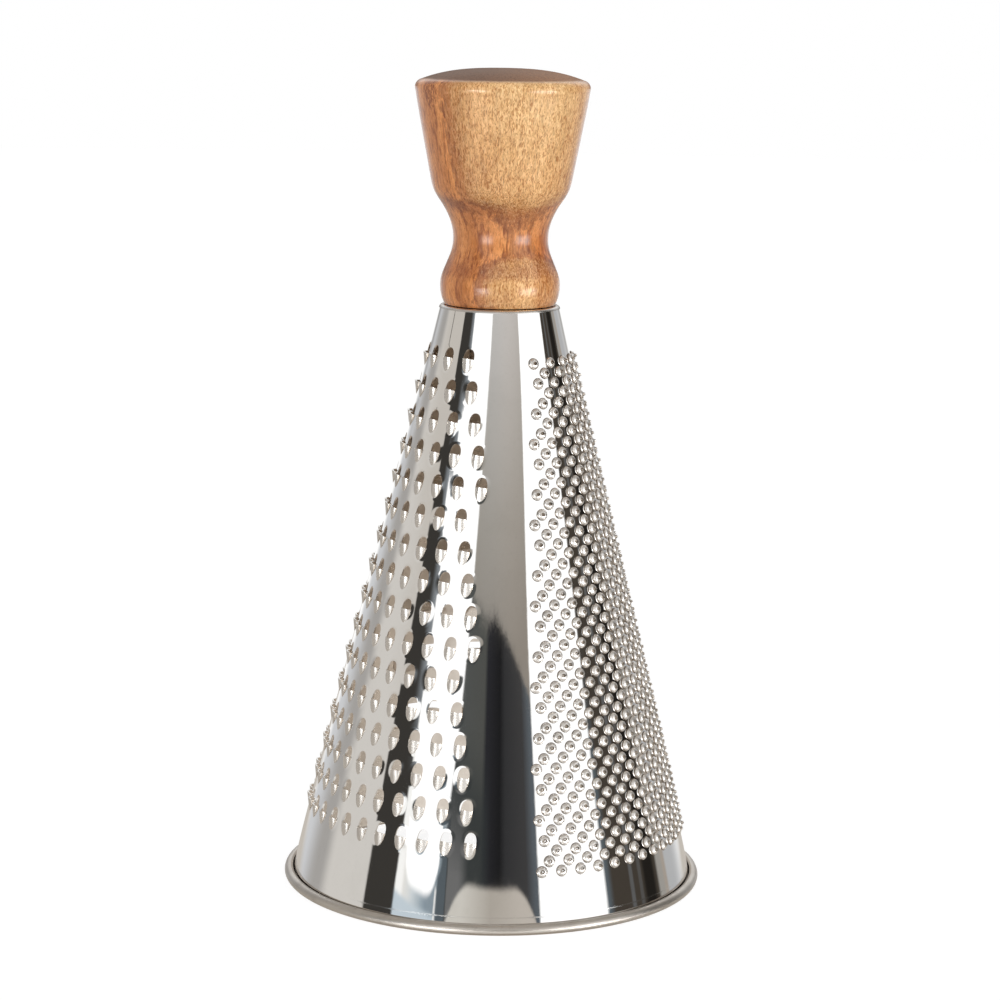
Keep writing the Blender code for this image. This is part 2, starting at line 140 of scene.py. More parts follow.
class Tree:
    """Node tree of one material or world, while it is put together."""

    def __init__(self, tree: bpy.types.NodeTree) -> None:
        """Empty a node tree."""
        self.tree = tree
        tree.nodes.clear()

    def node(self, kind: str, sockets: dict | None = None, settings: dict | None = None) -> bpy.types.Node:
        """Add a node.

        Args:
            kind: Type of the node.
            sockets: Values or links of its input sockets, by name or number.
            settings: Its settings by name.

        Returns:
            The node.
        """
        node = self.tree.nodes.new(kind)
        for name, setting in (settings or {}).items():
            setattr(node, name, setting)
        for name, given in (sockets or {}).items():
            if isinstance(given, Value):
                given = given.socket
            if isinstance(given, bpy.types.NodeSocket):
                self.tree.links.new(given, node.inputs[name])
            elif isinstance(given, tuple) and node.inputs[name].type == "RGBA":
                node.inputs[name].default_value = (*given, 1.0)
            else:
                node.inputs[name].default_value = given
        return node

    def value(self, kind: str, sockets: dict | None = None, output: str | int = 0, **settings: str) -> Value:
        """Add a node and wrap one of its outputs.

        Args:
            kind: Type of the node.
            sockets: Values or links of its input sockets.
            output: Name or number of the output.
            settings: The node's settings.

        Returns:
            The wrapped output.
        """
        return Value(self, self.node(kind, sockets, settings).outputs[output])

    def maths(self, operation: str, *values: Value | float) -> Value:
        """Add a Math node and wrap its result."""
        return self.value("ShaderNodeMath", dict(enumerate(values)), operation=operation)

    def mix(self, factor: Value | float, first: Value | Colour, second: Value | Colour,
            blend: str = "MIX") -> Value:
        """Mix two colours.

        Args:
            factor: Share of the second colour.
            first: Colour at factor 0.
            second: Colour at factor 1.
            blend: The Mix node's blend type.

        Returns:
            The mixed colour.
        """
        sockets = {0: factor, 6: first, 7: second}
        return self.value("ShaderNodeMix", sockets, 2, data_type="RGBA", blend_type=blend)

    def layered(self, colour: Value | Colour, layers: list[tuple], blend: str = "MIX") -> Value:
        """Lay colours over a colour, one after the other.

        Args:
            colour: The lowest colour.
            layers: Factor and colour of each layer.
            blend: Blend type of the layers.

        Returns:
            The layered colour.
        """
        for factor, layer in layers:
            colour = self.mix(factor, colour, layer, blend)
        return colour

    def place(self, scale: Triple = (1.0, 1.0, 1.0)) -> Value:
        """Place on the object in metres, times a scale on each axis."""
        sockets = {0: self.value("ShaderNodeTexCoord", None, "Object"), 1: scale}
        return self.value("ShaderNodeVectorMath", sockets, operation="MULTIPLY")

    def parts(self, point: Value) -> list[Value]:
        """The X, Y and Z of a place or a direction."""
        return [Value(self, output) for output in self.node("ShaderNodeSeparateXYZ", {0: point}).outputs]

    def noise(self, point: Value, size: float, detail: float = 2.0, swirl: float = 0.0) -> Value:
        """Noise from 0 to 1 whose lumps are about as large as a size.

        Args:
            point: Place, in metres.
            size: Size of the lumps, in metres.
            detail: Number of finer layers.
            swirl: How much the lumps are twisted.

        Returns:
            The noise.
        """
        sockets = {"Vector": point, "Scale": 1.0 / size, "Detail": detail, "Distortion": swirl}
        return self.value("ShaderNodeTexNoise", sockets)

    def ramp(self, factor: Value, stops: Stops) -> Value:
        """Colour by a factor.

        Args:
            factor: The factor.
            stops: Places and colours of the ramp, in order.

        Returns:
            The colour.
        """
        node = self.node("ShaderNodeValToRGB", {"Fac": factor})
        elements = node.color_ramp.elements
        for place, _ in stops[len(elements):]:
            elements.new(place)
        for element, (place, colour) in zip(elements, stops):
            element.position = place
            element.color = (*colour, 1.0)
        return Value(self, node.outputs["Color"])

    def bump(self, height: Value, distance: float, strength: float = 1.0,
             below: Value | None = None) -> Value:
        """Normal of a fine relief.

        Args:
            height: Height of the relief, from 0 to 1.
            distance: Height that 1 stands for, in metres.
            strength: Strength of the effect.
            below: Normal of a coarser relief under this one.

        Returns:
            The normal.
        """
        sockets = {"Height": height, "Distance": distance, "Strength": strength}
        if below is not None:
            sockets["Normal"] = below
        return self.value("ShaderNodeBump", sockets, "Normal")

    def close(self, kind: str, sockets: dict, output: str = "ShaderNodeOutputMaterial") -> None:
        """Add the last shader and lead it into the tree's output."""
        self.node(output, {"Surface": self.node(kind, sockets).outputs[0]})


def new_tree(name: str) -> tuple[bpy.types.Material, Tree]:
    """Make a material and its empty node tree."""
    material = bpy.data.materials.new(name)
    material.use_nodes = True
    return material, Tree(material.node_tree)


# Finishes


@dataclass(frozen=True)
class Grain:
    """Noise that can be drawn out up the piece, and the levels between which it shows as marks."""

    draw: float
    size: float
    detail: float
    swirl: float = 0.0
    low: float = 0.0
    high: float = 1.0

    def noise(self, tree: Tree) -> Value:
        """The noise, from 0 to 1."""
        return tree.noise(tree.place((1.0, 1.0, self.draw)), self.size, self.detail, self.swirl)

    def marks(self, tree: Tree) -> Value:
        """The marks, 1 where they are full."""
        return self.noise(tree).rise(self.low, self.high)


@dataclass(frozen=True)
class Steel:
    """Stainless steel with the marks of its polish."""

    name: str
    colour: Colour
    shade: Colour
    roughness: float
    smudge: float
    line_depth: float
    line_width: float
    axis: Axis = Axis.ALONG
    wave_depth: float = 0.0
    ring_height: float = 0.0
    ring_width: float = 0.0004
    ring_blur: float = 0.12
    cloud: Grain = Grain(1.0, 0.010, 4.0, 0.0, 0.45, 0.75)
    specks: Grain = Grain(1.0, 0.0012, 2.0, 0.0, 0.55, 0.8)
    wave: Grain = Grain(0.12, 0.012, 1.0)

    def material(self) -> bpy.types.Material:
        """Build the material.

        Returns:
            The finished material.
        """
        material, tree = new_tree(self.name)
        stretch = {Axis.ALONG: (1.0, 1.0, 0.02), Axis.ROUND: (0.05, 0.05, 1.0), Axis.NONE: (1.0, 1.0, 1.0)}
        lines = tree.noise(tree.place(stretch[self.axis]), self.line_width, 3.0)
        cloud = self.cloud.noise(tree)
        stain = cloud.rise(self.cloud.low, self.cloud.high) * 0.6 + self.specks.marks(tree) * 0.4
        colour = tree.mix(stain, self.colour, self.shade)
        roughness = self.roughness + self.smudge * (cloud.rise(0.35, 0.7) * 0.6 + lines.rise(0.4, 0.7) * 0.4)
        normal = tree.bump(lines, self.line_depth)
        if self.wave_depth:
            normal = tree.bump(self.wave.noise(tree), self.wave_depth, 1.0, normal)
        if self.ring_height:
            height = tree.parts(tree.place())[2]
            groove = 1.0 - (abs(height - self.ring_height) / self.ring_width).rise(0.0, 1.0)
            roughness = roughness + self.ring_blur * groove
        sockets = {"Base Color": colour, "Metallic": 1.0, "Roughness": roughness, "Normal": normal}
        tree.close("ShaderNodeBsdfPrincipled", sockets)
        return material


@dataclass(frozen=True)
class Wood:
    """Satin-varnished hardwood whose layers lie across the front.

    A name that ends in span holds the levels from which and to which something rises.
    """

    name: str = "varnished_hardwood"
    lean: float = 0.40
    foot_lean: float = 0.36
    foot_span: Pair = (0.1880, 0.2020)
    bend: float = 0.0036
    fray_depth: float = 0.0065
    sag: float = 0.0048
    sag_height: float = 0.2022
    sag_span: Pair = (0.0062, 0.0106)
    reach: float = 0.028
    layers: Stops = (
        (-0.0280, (0.60, 0.250, 0.080)), (-0.0195, (0.74, 0.410, 0.170)), (-0.0175, (0.38, 0.150, 0.055)),
        (-0.0140, (0.66, 0.270, 0.085)), (-0.0060, (0.70, 0.265, 0.083)), (0.0000, (0.90, 0.365, 0.112)),
        (0.0045, (0.66, 0.240, 0.070)), (0.0075, (0.72, 0.275, 0.082)), (0.0104, (0.98, 0.410, 0.132)),
        (0.0118, (0.54, 0.205, 0.068)), (0.0132, (0.64, 0.255, 0.083)), (0.0152, (0.70, 0.335, 0.120)),
        (0.0180, (0.82, 0.435, 0.165)), (0.0215, (0.95, 0.540, 0.224)), (0.0270, (1.00, 0.640, 0.295)))
    gold_span: Pair = (0.0118, 0.0155)
    level_bend: float = 0.006
    level_fray: float = 0.004
    warp: Grain = Grain(0.6, 0.024, 1.0)
    flames: Grain = Grain(0.22, 0.00044, 1.5, 1.4)
    fray: Grain = Grain(0.25, 0.0009, 2.0, 0.6)
    streaks: Grain = Grain(0.035, 0.0011, 3.0, 0.0, 0.47, 0.68)
    streak: Colour = (0.48, 0.33, 0.23)
    clouds: Grain = Grain(0.40, 0.0085, 2.0, 1.2, 0.42, 0.66)
    cloud: Colour = (0.80, 0.72, 0.60)
    cloud_share: float = 0.62
    pores: Grain = Grain(0.10, 0.00030, 1.0, 0.3, 0.60, 0.70)
    pore: Colour = (0.46, 0.32, 0.22)
    pore_share: float = 0.45
    pore_depth: float = 0.00003
    stroke: Colour = (0.58, 0.36, 0.18)
    gleam: Colour = (0.20, 0.19, 0.13)
    # Painted shade under the head, on its left, partly a darker band of the grain
    collar_shade: Colour = (0.58, 0.50, 0.52)
    collar_height: float = 0.2100
    collar_slope: float = 0.06
    collar_span: Pair = (0.0006, 0.0032)
    collar_side_span: Pair = (-0.008, 0.008)
    collar_share: float = 0.85
    waist: Colour = (0.74, 0.64, 0.62)
    waist_height: float = 0.1918
    waist_span: Pair = (0.0008, 0.0032)
    waist_share: float = 0.8
    # Darker towards the right side, below the head
    right_tint: Colour = (0.82, 0.66, 0.54)
    right_tint_side_span: Pair = (0.008, 0.0125)
    right_tint_height_span: Pair = (0.1990, 0.2070)
    knot: Triple = (-0.0205, -0.0140, 0.2432)
    knot_reach: float = 0.0065
    knot_colour: Colour = (0.46, 0.33, 0.27)
    # The top's end grain: darker wood, and painted shade of the dimly lit top
    end_grain_and_shade: Colour = (0.25, 0.140, 0.088)
    end_warm: Colour = (0.42, 0.210, 0.105)
    warm_span: Pair = (-0.010, 0.020)
    end_pore: Colour = (0.15, 0.082, 0.052)
    end_span: Pair = (0.2470, 0.2478)
    dots: Grain = Grain(1.0, 0.0005, 1.0, 0.0, 0.48, 0.66)
    ring_gap: float = 0.0017
    ring_bend: float = 9.0
    figure: Grain = Grain(1.0, 0.004, 2.0)
    roughness: float = 0.42

    def material(self) -> bpy.types.Material:
        """Build the material.

        Returns:
            The finished material.
        """
        material, tree = new_tree(self.name)
        side, away, up = tree.parts(tree.place())
        warp = self.warp.noise(tree) - 0.5
        flames = self.flames.noise(tree)
        fray = self.fray.noise(tree) - 0.5
        pores = self.pores.marks(tree)
        sag = self.sag * (1.0 - abs(up - self.sag_height).rise(*self.sag_span))
        lean = self.lean + self.foot_lean * (1.0 - up.rise(*self.foot_span))
        depth = side * lean - away - sag + warp * self.bend + fray * self.fray_depth
        stops = [((place + self.reach) / (2 * self.reach), colour) for place, colour in self.layers]
        gold = depth.rise(*self.gold_span)
        level = up + warp * self.level_bend + fray * self.level_fray
        # Painted shade: a darker band under the head on the left, partly following the grain
        collar_shade = 1.0 - abs(level - self.collar_height + self.collar_slope * side).rise(*self.collar_span)
        waist = 1.0 - abs(level - self.waist_height).rise(*self.waist_span)
        # Darker towards the right side, below the head
        right_tint_mask = side.rise(*self.right_tint_side_span) * (1.0 - level.rise(*self.right_tint_height_span))
        colour = tree.layered(tree.ramp((depth + self.reach) / (2 * self.reach), stops), [
            (collar_shade * (1.0 - side.rise(*self.collar_side_span)) * self.collar_share, self.collar_shade),
            (waist * self.waist_share, self.waist),
            (right_tint_mask, self.right_tint),
            (self.streaks.marks(tree) * (0.85 - 0.50 * gold), self.streak),
            (self.clouds.marks(tree) * self.cloud_share, self.cloud),
            (flames.rise(0.49, 0.63) * (0.45 + 0.42 * gold), self.stroke)], "MULTIPLY")
        colour = tree.mix((1.0 - flames).rise(0.50, 0.66) * (0.15 + 0.62 * gold), colour, self.gleam, "ADD")
        sockets = {0: tree.place(), 1: self.knot}
        far = tree.value("ShaderNodeVectorMath", sockets, "Value", operation="DISTANCE")
        knot = (1.0 - far.rise(self.knot_reach * 0.3, self.knot_reach)) * flames.rise(0.40, 0.58)
        spots = [(pores * self.pore_share, self.pore), (knot, self.knot_colour)]
        colour = tree.layered(colour, spots, "MULTIPLY")
        ring = (depth * (math.tau / self.ring_gap) + warp * self.ring_bend).sine()
        # End grain of the top, darker wood and partly painted shade, warmer towards the right
        crown = tree.mix(side.rise(*self.warm_span), self.end_grain_and_shade, self.end_warm)
        crown = tree.mix(self.dots.marks(tree) * 0.45 + ring.rise(0.0, 1.0) * 0.35, crown, self.end_pore)
        topped = up.rise(*self.end_span)
        sockets = {"Base Color": tree.mix(topped, colour, crown), "Specular IOR Level": 0.2, "IOR": 1.48}
        sockets["Roughness"] = self.roughness + 0.12 * (self.figure.noise(tree) - 0.5) + 0.25 * topped
        sockets["Normal"] = tree.bump(1.0 - pores, self.pore_depth, 0.5)
        sockets |= {"Coat Weight": 1.0 - 0.88 * topped, "Coat Roughness": 0.23, "Coat IOR": 1.5}
        tree.close("ShaderNodeBsdfPrincipled", sockets)
        return material


SHEET_FINISHES = {
    Face.POLISHED: Steel("polished_steel", (0.93, 0.925, 0.915), (0.88, 0.875, 0.86), 0.021, 0.024,
                         0.0000011, 0.0006, wave_depth=0.000012, ring_height=0.0047),
    Face.DRAWN: Steel("drawn_steel", (0.74, 0.715, 0.685), (0.60, 0.575, 0.545), 0.24, 0.12,
                      0.000010, 0.0005, Axis.NONE),
    Face.INSIDE: Steel("inside_steel", (0.76, 0.70, 0.635), (0.62, 0.56, 0.50), 0.26, 0.12,
                       0.000004, 0.0006, Axis.ROUND),
    Face.SHEARED: Steel("sheared_steel", (0.88, 0.87, 0.85), (0.66, 0.64, 0.61), 0.20, 0.14,
                        0.000006, 0.0002, Axis.NONE),
    Face.HEM: Steel("hem_steel", (0.61, 0.575, 0.53), (0.46, 0.425, 0.385), 0.34, 0.12,
                    0.000005, 0.0004, Axis.ROUND),
    Face.PUNCHED: Steel("punched_steel", (0.88, 0.855, 0.825), (0.62, 0.595, 0.565), 0.30, 0.12,
                        0.000024, 0.0005, Axis.NONE),
    # Painted shade: dark steel in the creases, on the burrs and in the hem's gap
    Face.CREASED: Steel("crease_shade_steel", (0.48, 0.425, 0.365), (0.30, 0.25, 0.205), 0.42, 0.10,
                        0.000006, 0.0003, Axis.NONE),
    # Painted shade: the darkest steel, in a ring round the foot of each point
    Face.GROOVED: Steel("groove_shade_steel", (0.25, 0.205, 0.165), (0.16, 0.125, 0.10), 0.50, 0.10,
                        0.000006, 0.0003, Axis.NONE),
}


# Meshes

# Angle above which an edge stays crisp
SHARP = 40.0


def links(first: list[int], second: list[int], closed: bool = True) -> list[tuple[int, ...]]:
    """Faces between two runs of the same number of points.

    Args:
        first: Numbers of one run.
        second: Numbers of the other.
        closed: Whether the runs go once round.

    Returns:
        The corners of each face; a point that both runs share counts once.
    """
    count = len(first)
    steps = [(index, (index + 1) % count) for index in range(count - (not closed))]
    return [tuple(dict.fromkeys((first[a], first[b], second[b], second[a]))) for a, b in steps]


class Draft:
    """Vertices, faces and finishes of a mesh while it is put together.

    Exact normals aren't used on the faces whose finish is among the punched ones.
    """

    def __init__(self) -> None:
        """Start with nothing drawn."""
        self.points: list[np.ndarray] = []
        self.normals: list[np.ndarray] = []
        self.count = 0
        self.faces: list[tuple[int, ...]] = []
        self.finishes: list[int] = []
        self.punched: list[int] = []

    def add(self, points: np.ndarray, normals: np.ndarray | None = None) -> int:
        """Add vertices.

        Args:
            points: Their places, one row each.
            normals: Their exact normals, or rows of zeros where Blender works them out.

        Returns:
            The number of the first one.
        """
        first = self.count
        self.points.append(points)
        self.normals.append(np.zeros_like(points) if normals is None else normals)
        self.count += len(points)
        return first

    def face(self, corners: tuple[int, ...], finish: int = 0) -> None:
        """Add a face with a finish."""
        self.faces.append(corners)
        self.finishes.append(finish)

    def bridge(self, first: list[int], second: list[int], finish: int = 0) -> None:
        """Join two rings of vertices."""
        for corners in links(first, second):
            self.face(corners, finish)

    def piece(self, name: str, materials: list[bpy.types.Material]) -> bpy.types.Object:
        """Turn the draft into an object.

        Args:
            name: Name of the object.
            materials: Its materials, in the order of the finishes.

        Returns:
            The object.
        """
        mesh = bpy.data.meshes.new(name)
        mesh.from_pydata(np.concatenate(self.points).tolist(), [], self.faces)
        mesh.polygons.foreach_set("material_index", self.finishes)
        draft = bmesh.new()
        draft.from_mesh(mesh)
        bmesh.ops.recalc_face_normals(draft, faces=draft.faces)
        draft.to_mesh(mesh)
        draft.free()
        mesh.shade_smooth()
        mesh.set_sharp_from_angle(angle=math.radians(SHARP))
        exact = np.concatenate(self.normals)
        if exact.any():
            corners = np.empty(len(mesh.loops), np.int32)
            mesh.loops.foreach_get("vertex_index", corners)
            totals = np.empty(len(mesh.polygons), np.int32)
            mesh.polygons.foreach_get("loop_total", totals)
            punched = np.repeat(np.isin(self.finishes, self.punched), totals)
            mesh.normals_split_custom_set(np.where(punched[:, None], 0.0, exact[corners]).tolist())
        for material in materials:
            mesh.materials.append(material)
        piece = bpy.data.objects.new(name, mesh)
        bpy.context.scene.collection.objects.link(piece)
        return piece


def turned(angles: np.ndarray, radii: np.ndarray | float, heights: np.ndarray | float) -> np.ndarray:
    """Places at angles about the axis.

    Args:
        angles: Angles in radians.
        radii: Distances from the axis.
        heights: Heights.

    Returns:
        One row for each place.
    """
    full = angles * 0.0
    return np.stack([radii * np.sin(angles), -radii * np.cos(angles), heights + full], axis=-1)


def arc(centre: float, height: float, radius: float, angles: np.ndarray) -> Profile:
    """Points of radius and height on a small circle.

    Args:
        centre: Distance of its centre from the axis.
        height: Height of its centre.
        radius: Its radius.
        angles: Angles up from straight out, in radians.

    Returns:
        The points in order.
    """
    return [(centre + radius * math.cos(turn), height + radius * math.sin(turn)) for turn in angles]


def smooth_line(knots: tuple[Pair, ...], steps: int) -> Profile:
    """Smooth run through knots of height and radius.

    Args:
        knots: The knots, from the lowest up.
        steps: Number of steps from each knot to the next.

    Returns:
        Points of radius and height, with the last knot.
    """
    heights, radii = np.array(knots).T
    lean = np.gradient(radii, heights)
    line = []
    for low in range(len(knots) - 1):
        reach = heights[low + 1] - heights[low]
        for step in range(steps):
            t = step / steps
            start = (1 + 2 * t) * (1 - t) ** 2 * radii[low] + t * (1 - t) ** 2 * reach * lean[low]
            end = t * t * (3 - 2 * t) * radii[low + 1] + t * t * (t - 1) * reach * lean[low + 1]
            line.append((float(start + end), float(heights[low] + t * reach)))
    line.append((float(radii[-1]), float(heights[-1])))
    return line


def lathe(draft: Draft, profile: Profile, steps: int) -> None:
    """Turn a profile about the axis; points on the axis close it, and else it closes on itself.

    Args:
        draft: Draft that takes the faces.
        profile: Points of radius and height.
        steps: Number of steps round.
    """
    angles = np.arange(steps) * (math.tau / steps)
    rings = []
    for radius, height in profile:
        if radius == 0.0:
            rings.append([draft.add(np.array([[0.0, 0.0, height]]))] * steps)
        else:
            first = draft.add(turned(angles, radius, height))
            rings.append(list(range(first, first + steps)))
    closed = profile[0][0] > 0.0
    for first, second in zip(rings, rings[1:] + rings[:1] if closed else rings[1:]):
        draft.bridge(first, second)


# Cutters of the cone

# Plain sheet that each cutter keeps round it
MARGIN = 0.0008


@dataclass
class Stamp:
    """One punched form, drawn flat: across, up the slant, and out of the sheet."""

    points: list[Triple] = field(default_factory=list)
    faces: list[tuple[tuple[int, ...], int]] = field(default_factory=list)
    outer: list[int] = field(default_factory=list)
    inner: list[int] = field(default_factory=list)

    def ring(self, places: list[Triple]) -> list[int]:
        """Add points and return their numbers."""
        first = len(self.points)
        self.points.extend(places)
        return list(range(first, len(self.points)))

    def join(self, first: list[int], second: list[int], finish: int, closed: bool = True) -> None:
        """Join two runs of points with faces of a finish, once round or from end to end."""
        self.faces.extend((corners, finish) for corners in links(first, second, closed))

    def stack(self, rings: list[list[int]], finish: int) -> None:
        """Join closed rings of points, each to the next."""
        for first, second in zip(rings, rings[1:]):
            self.join(first, second, finish)


@dataclass(frozen=True)
class Scoop:
    """Cutter with a punched hole above a raised lip, and a scoop that falls away below the lip."""

    sheet: float
    half_width: float
    hole_height: float
    length: float
    rise: float
    skirt: float = 0.0013
    skirt_up: float = 0.0009
    rim: float = 0.000045
    rim_share: float = 0.55
    lip_share: float = 0.8
    hole_corner: float = 0.85
    base_power: float = 2.7
    base_corner: float = 0.60
    arch_power: float = 2.0
    arch_corner: float = 0.62
    hole_steps: int = 12
    rows: int = 8
    columns: int = 8
    skirt_shares: tuple[float, ...] = (1.0, 0.80, 0.60, 0.42, 0.27, 0.14)

    def reach(self) -> Triple:
        """How far the form and a margin round it reach across, up and down."""
        across = self.half_width + self.skirt + MARGIN
        return across, self.hole_height + self.skirt_up + MARGIN, self.length + self.skirt_up + MARGIN

    def outline(self) -> Profile:
        """Outline of the hole and of the scoop's base.

        Returns:
            Places across and up, anticlockwise from the lip's right end.
        """
        places = []
        for step in range(self.hole_steps):
            turn = math.pi * step / self.hole_steps
            across = math.copysign(abs(math.cos(turn)) ** self.hole_corner, math.cos(turn))
            places.append((self.half_width * across, self.hole_height * math.sin(turn) ** self.hole_corner))
        left = [(-width, -depth) for width, depth, _ in self.stations()]
        right = [(width, -depth) for width, depth, _ in self.stations()[1:-1]]
        return places + left + right[::-1]

    def stations(self) -> list[Triple]:
        """Half width, depth below the lip and height of the crest, from the lip to the scoop's tip."""
        stations = []
        for row in range(self.rows + 1):
            share = math.sin(math.pi / 2 * row / self.rows)
            width = self.half_width * max(0.0, 1.0 - share ** self.base_power) ** self.base_corner
            crest = self.rise * max(0.0, 1.0 - share)
            stations.append((width, self.length * share, crest))
        return stations

    def rim_at(self, up: float) -> float:
        """Height to which the sheet is drawn out round the outline, most beside the lip."""
        near_lip = math.exp(-(up / (self.hole_height * self.lip_share)) ** 2)
        return self.rim * (1.0 - self.rim_share + self.rim_share * near_lip)

    def stamp(self) -> Stamp:
        """Draw the cutter.

        Returns:
            The drawn form.
        """
        stamp = Stamp()
        outline = self.outline()
        total = len(outline)
        away = []
        for index in range(total):
            before = outline[index - 1]
            after = outline[(index + 1) % total]
            run = (after[0] - before[0], after[1] - before[1])
            size = math.hypot(*run)
            away.append((run[1] / size, -run[0] / size))
        rings = []
        for share in (*self.skirt_shares, 0.0):
            ring = []
            for (across, up), (right, top) in zip(outline, away):
                height = self.rim_at(up) * (1.0 - share) ** 2
                ring.append((across + right * self.skirt * share, up + top * self.skirt_up * share, height))
            rings.append(stamp.ring(ring))
        stamp.stack(rings, Face.POLISHED)
        inner = stamp.ring([(across, up, -self.sheet) for across, up in outline])
        stamp.outer = rings[0]
        stamp.inner = inner
        above = self.grid(stamp, rings[-1], 0.0, True)
        below = self.grid(stamp, inner, -self.sheet, False)
        arc_run = list(range(self.hole_steps + 1))
        stamp.join([rings[-1][n] for n in arc_run], [inner[n] for n in arc_run], Face.SHEARED, False)
        stamp.join(above, below, Face.SHEARED, False)
        return stamp

    def grid(self, stamp: Stamp, loop: list[int], level: float, outside: bool) -> list[int]:
        """Draw one side of the scoop.

        Args:
            stamp: Form that takes the points and faces.
            loop: Numbers of that side's outline.
            level: Height of the sheet's face there.
            outside: Whether this is the outer side.

        Returns:
            Numbers of the lip's points, from left to right.
        """
        total = len(loop)
        tip = loop[self.hole_steps + self.rows]
        lines = []
        for row, (width, depth, crest) in enumerate(self.stations()[:-1]):
            base = self.rim_at(depth) if outside else level
            places = []
            for column in range(1, self.columns):
                share = math.sin(math.pi / 2 * (2 * column / self.columns - 1))
                arch = (1.0 - abs(share) ** self.arch_power) ** self.arch_corner
                places.append((width * share, -depth, base + crest * arch))
            left = loop[self.hole_steps + row]
            right = loop[(total - row) % total]
            lines.append([left] + stamp.ring(places) + [right])
        finish = Face.DRAWN if outside else Face.INSIDE
        # The outer columns beside the outline take the dark crease steel, painted shade where the scoop bends
        # up
        edge = Face.CREASED if outside else Face.INSIDE
        for first, second in zip(lines, lines[1:] + [[tip] * len(lines[-1])]):
            stamp.join(first[:2], second[:2], edge, False)
            stamp.join(first[1:-1], second[1:-1], finish, False)
            stamp.join(first[-2:], second[-2:], edge, False)
        return lines[0]


@dataclass(frozen=True)
class Point:
    """Rasp point: a small dome pierced from inside, with four burrs round its hole."""

    sheet: float
    radius: float
    rise: float
    hole: float = 0.00028
    hole_wide: float = 0.00050
    notch: float = 0.00085
    burr_power: float = 1.5
    length: float = 0.00178
    sides: int = 16
    burrs: int = 4
    # Number of foot rings of the dome that take the painted shade
    shade_rings: int = 2
    dome_shares: tuple[Pair, ...] = (
        (1.07, 0.0), (1.01, 0.04), (0.97, 0.15), (0.91, 0.28),
        (0.82, 0.40), (0.70, 0.49), (0.55, 0.55), (0.38, 0.58))
    inner_shares: tuple[Pair, ...] = ((0.18, 0.40), (0.48, 0.18), (0.72, -0.12), (0.88, -0.38))

    def reach(self) -> Triple:
        """How far the form and a margin round it reach across, up and down."""
        return (self.radius * self.dome_shares[0][0] + MARGIN,) * 3

    def ring(self, wide: float, high: float) -> list[Triple]:
        """One ring of places about the middle.

        Args:
            wide: Share of the radius.
            high: Share of the rise.

        Returns:
            The places.
        """
        radius = self.radius * wide
        turns = [math.tau * side / self.sides for side in range(self.sides)]
        return [(radius * math.cos(turn), radius * math.sin(turn), self.rise * high) for turn in turns]

    def crown(self) -> list[Triple]:
        """Torn edge of the hole, from the tips of the burrs down to the notches between them."""
        places = []
        for side in range(self.sides):
            turn = math.tau * side / self.sides
            fall = 1.0 - abs(math.cos(turn * self.burrs / 2)) ** self.burr_power
            radius = self.hole + (self.hole_wide - self.hole) * fall
            places.append((radius * math.cos(turn), radius * math.sin(turn), self.rise - self.notch * fall))
        return places

    def stamp(self) -> Stamp:
        """Draw the point.

        Returns:
            The drawn form.
        """
        stamp = Stamp()
        rings = [stamp.ring(self.ring(wide, high)) for wide, high in self.dome_shares]
        # The foot rings take the darkest steel, painted shade round the dome
        stamp.stack(rings[:self.shade_rings + 1], Face.GROOVED)
        stamp.stack(rings[self.shade_rings:], Face.PUNCHED)
        tips = stamp.ring(self.crown())
        # The burrs take the dark crease steel, painted shade on the torn edge
        stamp.join(rings[-1], tips, Face.CREASED)
        under = [stamp.ring(self.ring(wide, high)) for wide, high in self.inner_shares]
        stamp.join(tips, under[0], Face.CREASED)
        inner = stamp.ring(self.ring(1.0, -self.sheet / self.rise))
        stamp.stack(under + [inner], Face.INSIDE)
        stamp.outer = rings[0]
        stamp.inner = inner
        return stamp


@dataclass(frozen=True)
class Zone:
    """Stretch of the cone that one kind of cutter covers, and the pattern of its rows.

    Near and far are the angles of its lines, and the edges are kept free inside them. Top is how far the
    first row lies below the cone's top. First is how far that row's first cutter lies from the near line,
    and shift is how much nearer each next row starts; without a first, each row is centred. Turn is the
    most that a cutter is turned out of line, and tilt the angle by which all of them lean to the left.
    """

    near: float
    far: float
    near_edge: float
    far_edge: float
    pitch: float
    row_pitch: float
    top: float
    turn: float
    tilt: float = 0.0
    first: float | None = None
    shift: float = 0.0

    def width(self, radius: float) -> float:
        """Arc length between the outermost cutter middles at a radius of the cone."""
        return math.radians(abs(self.far - self.near)) * radius - self.near_edge - self.far_edge

    def angle(self, radius: float, distance: float) -> float:
        """Angle in radians of a place some way in from the near line."""
        return math.radians(self.near) + math.copysign(distance / radius, self.far - self.near)


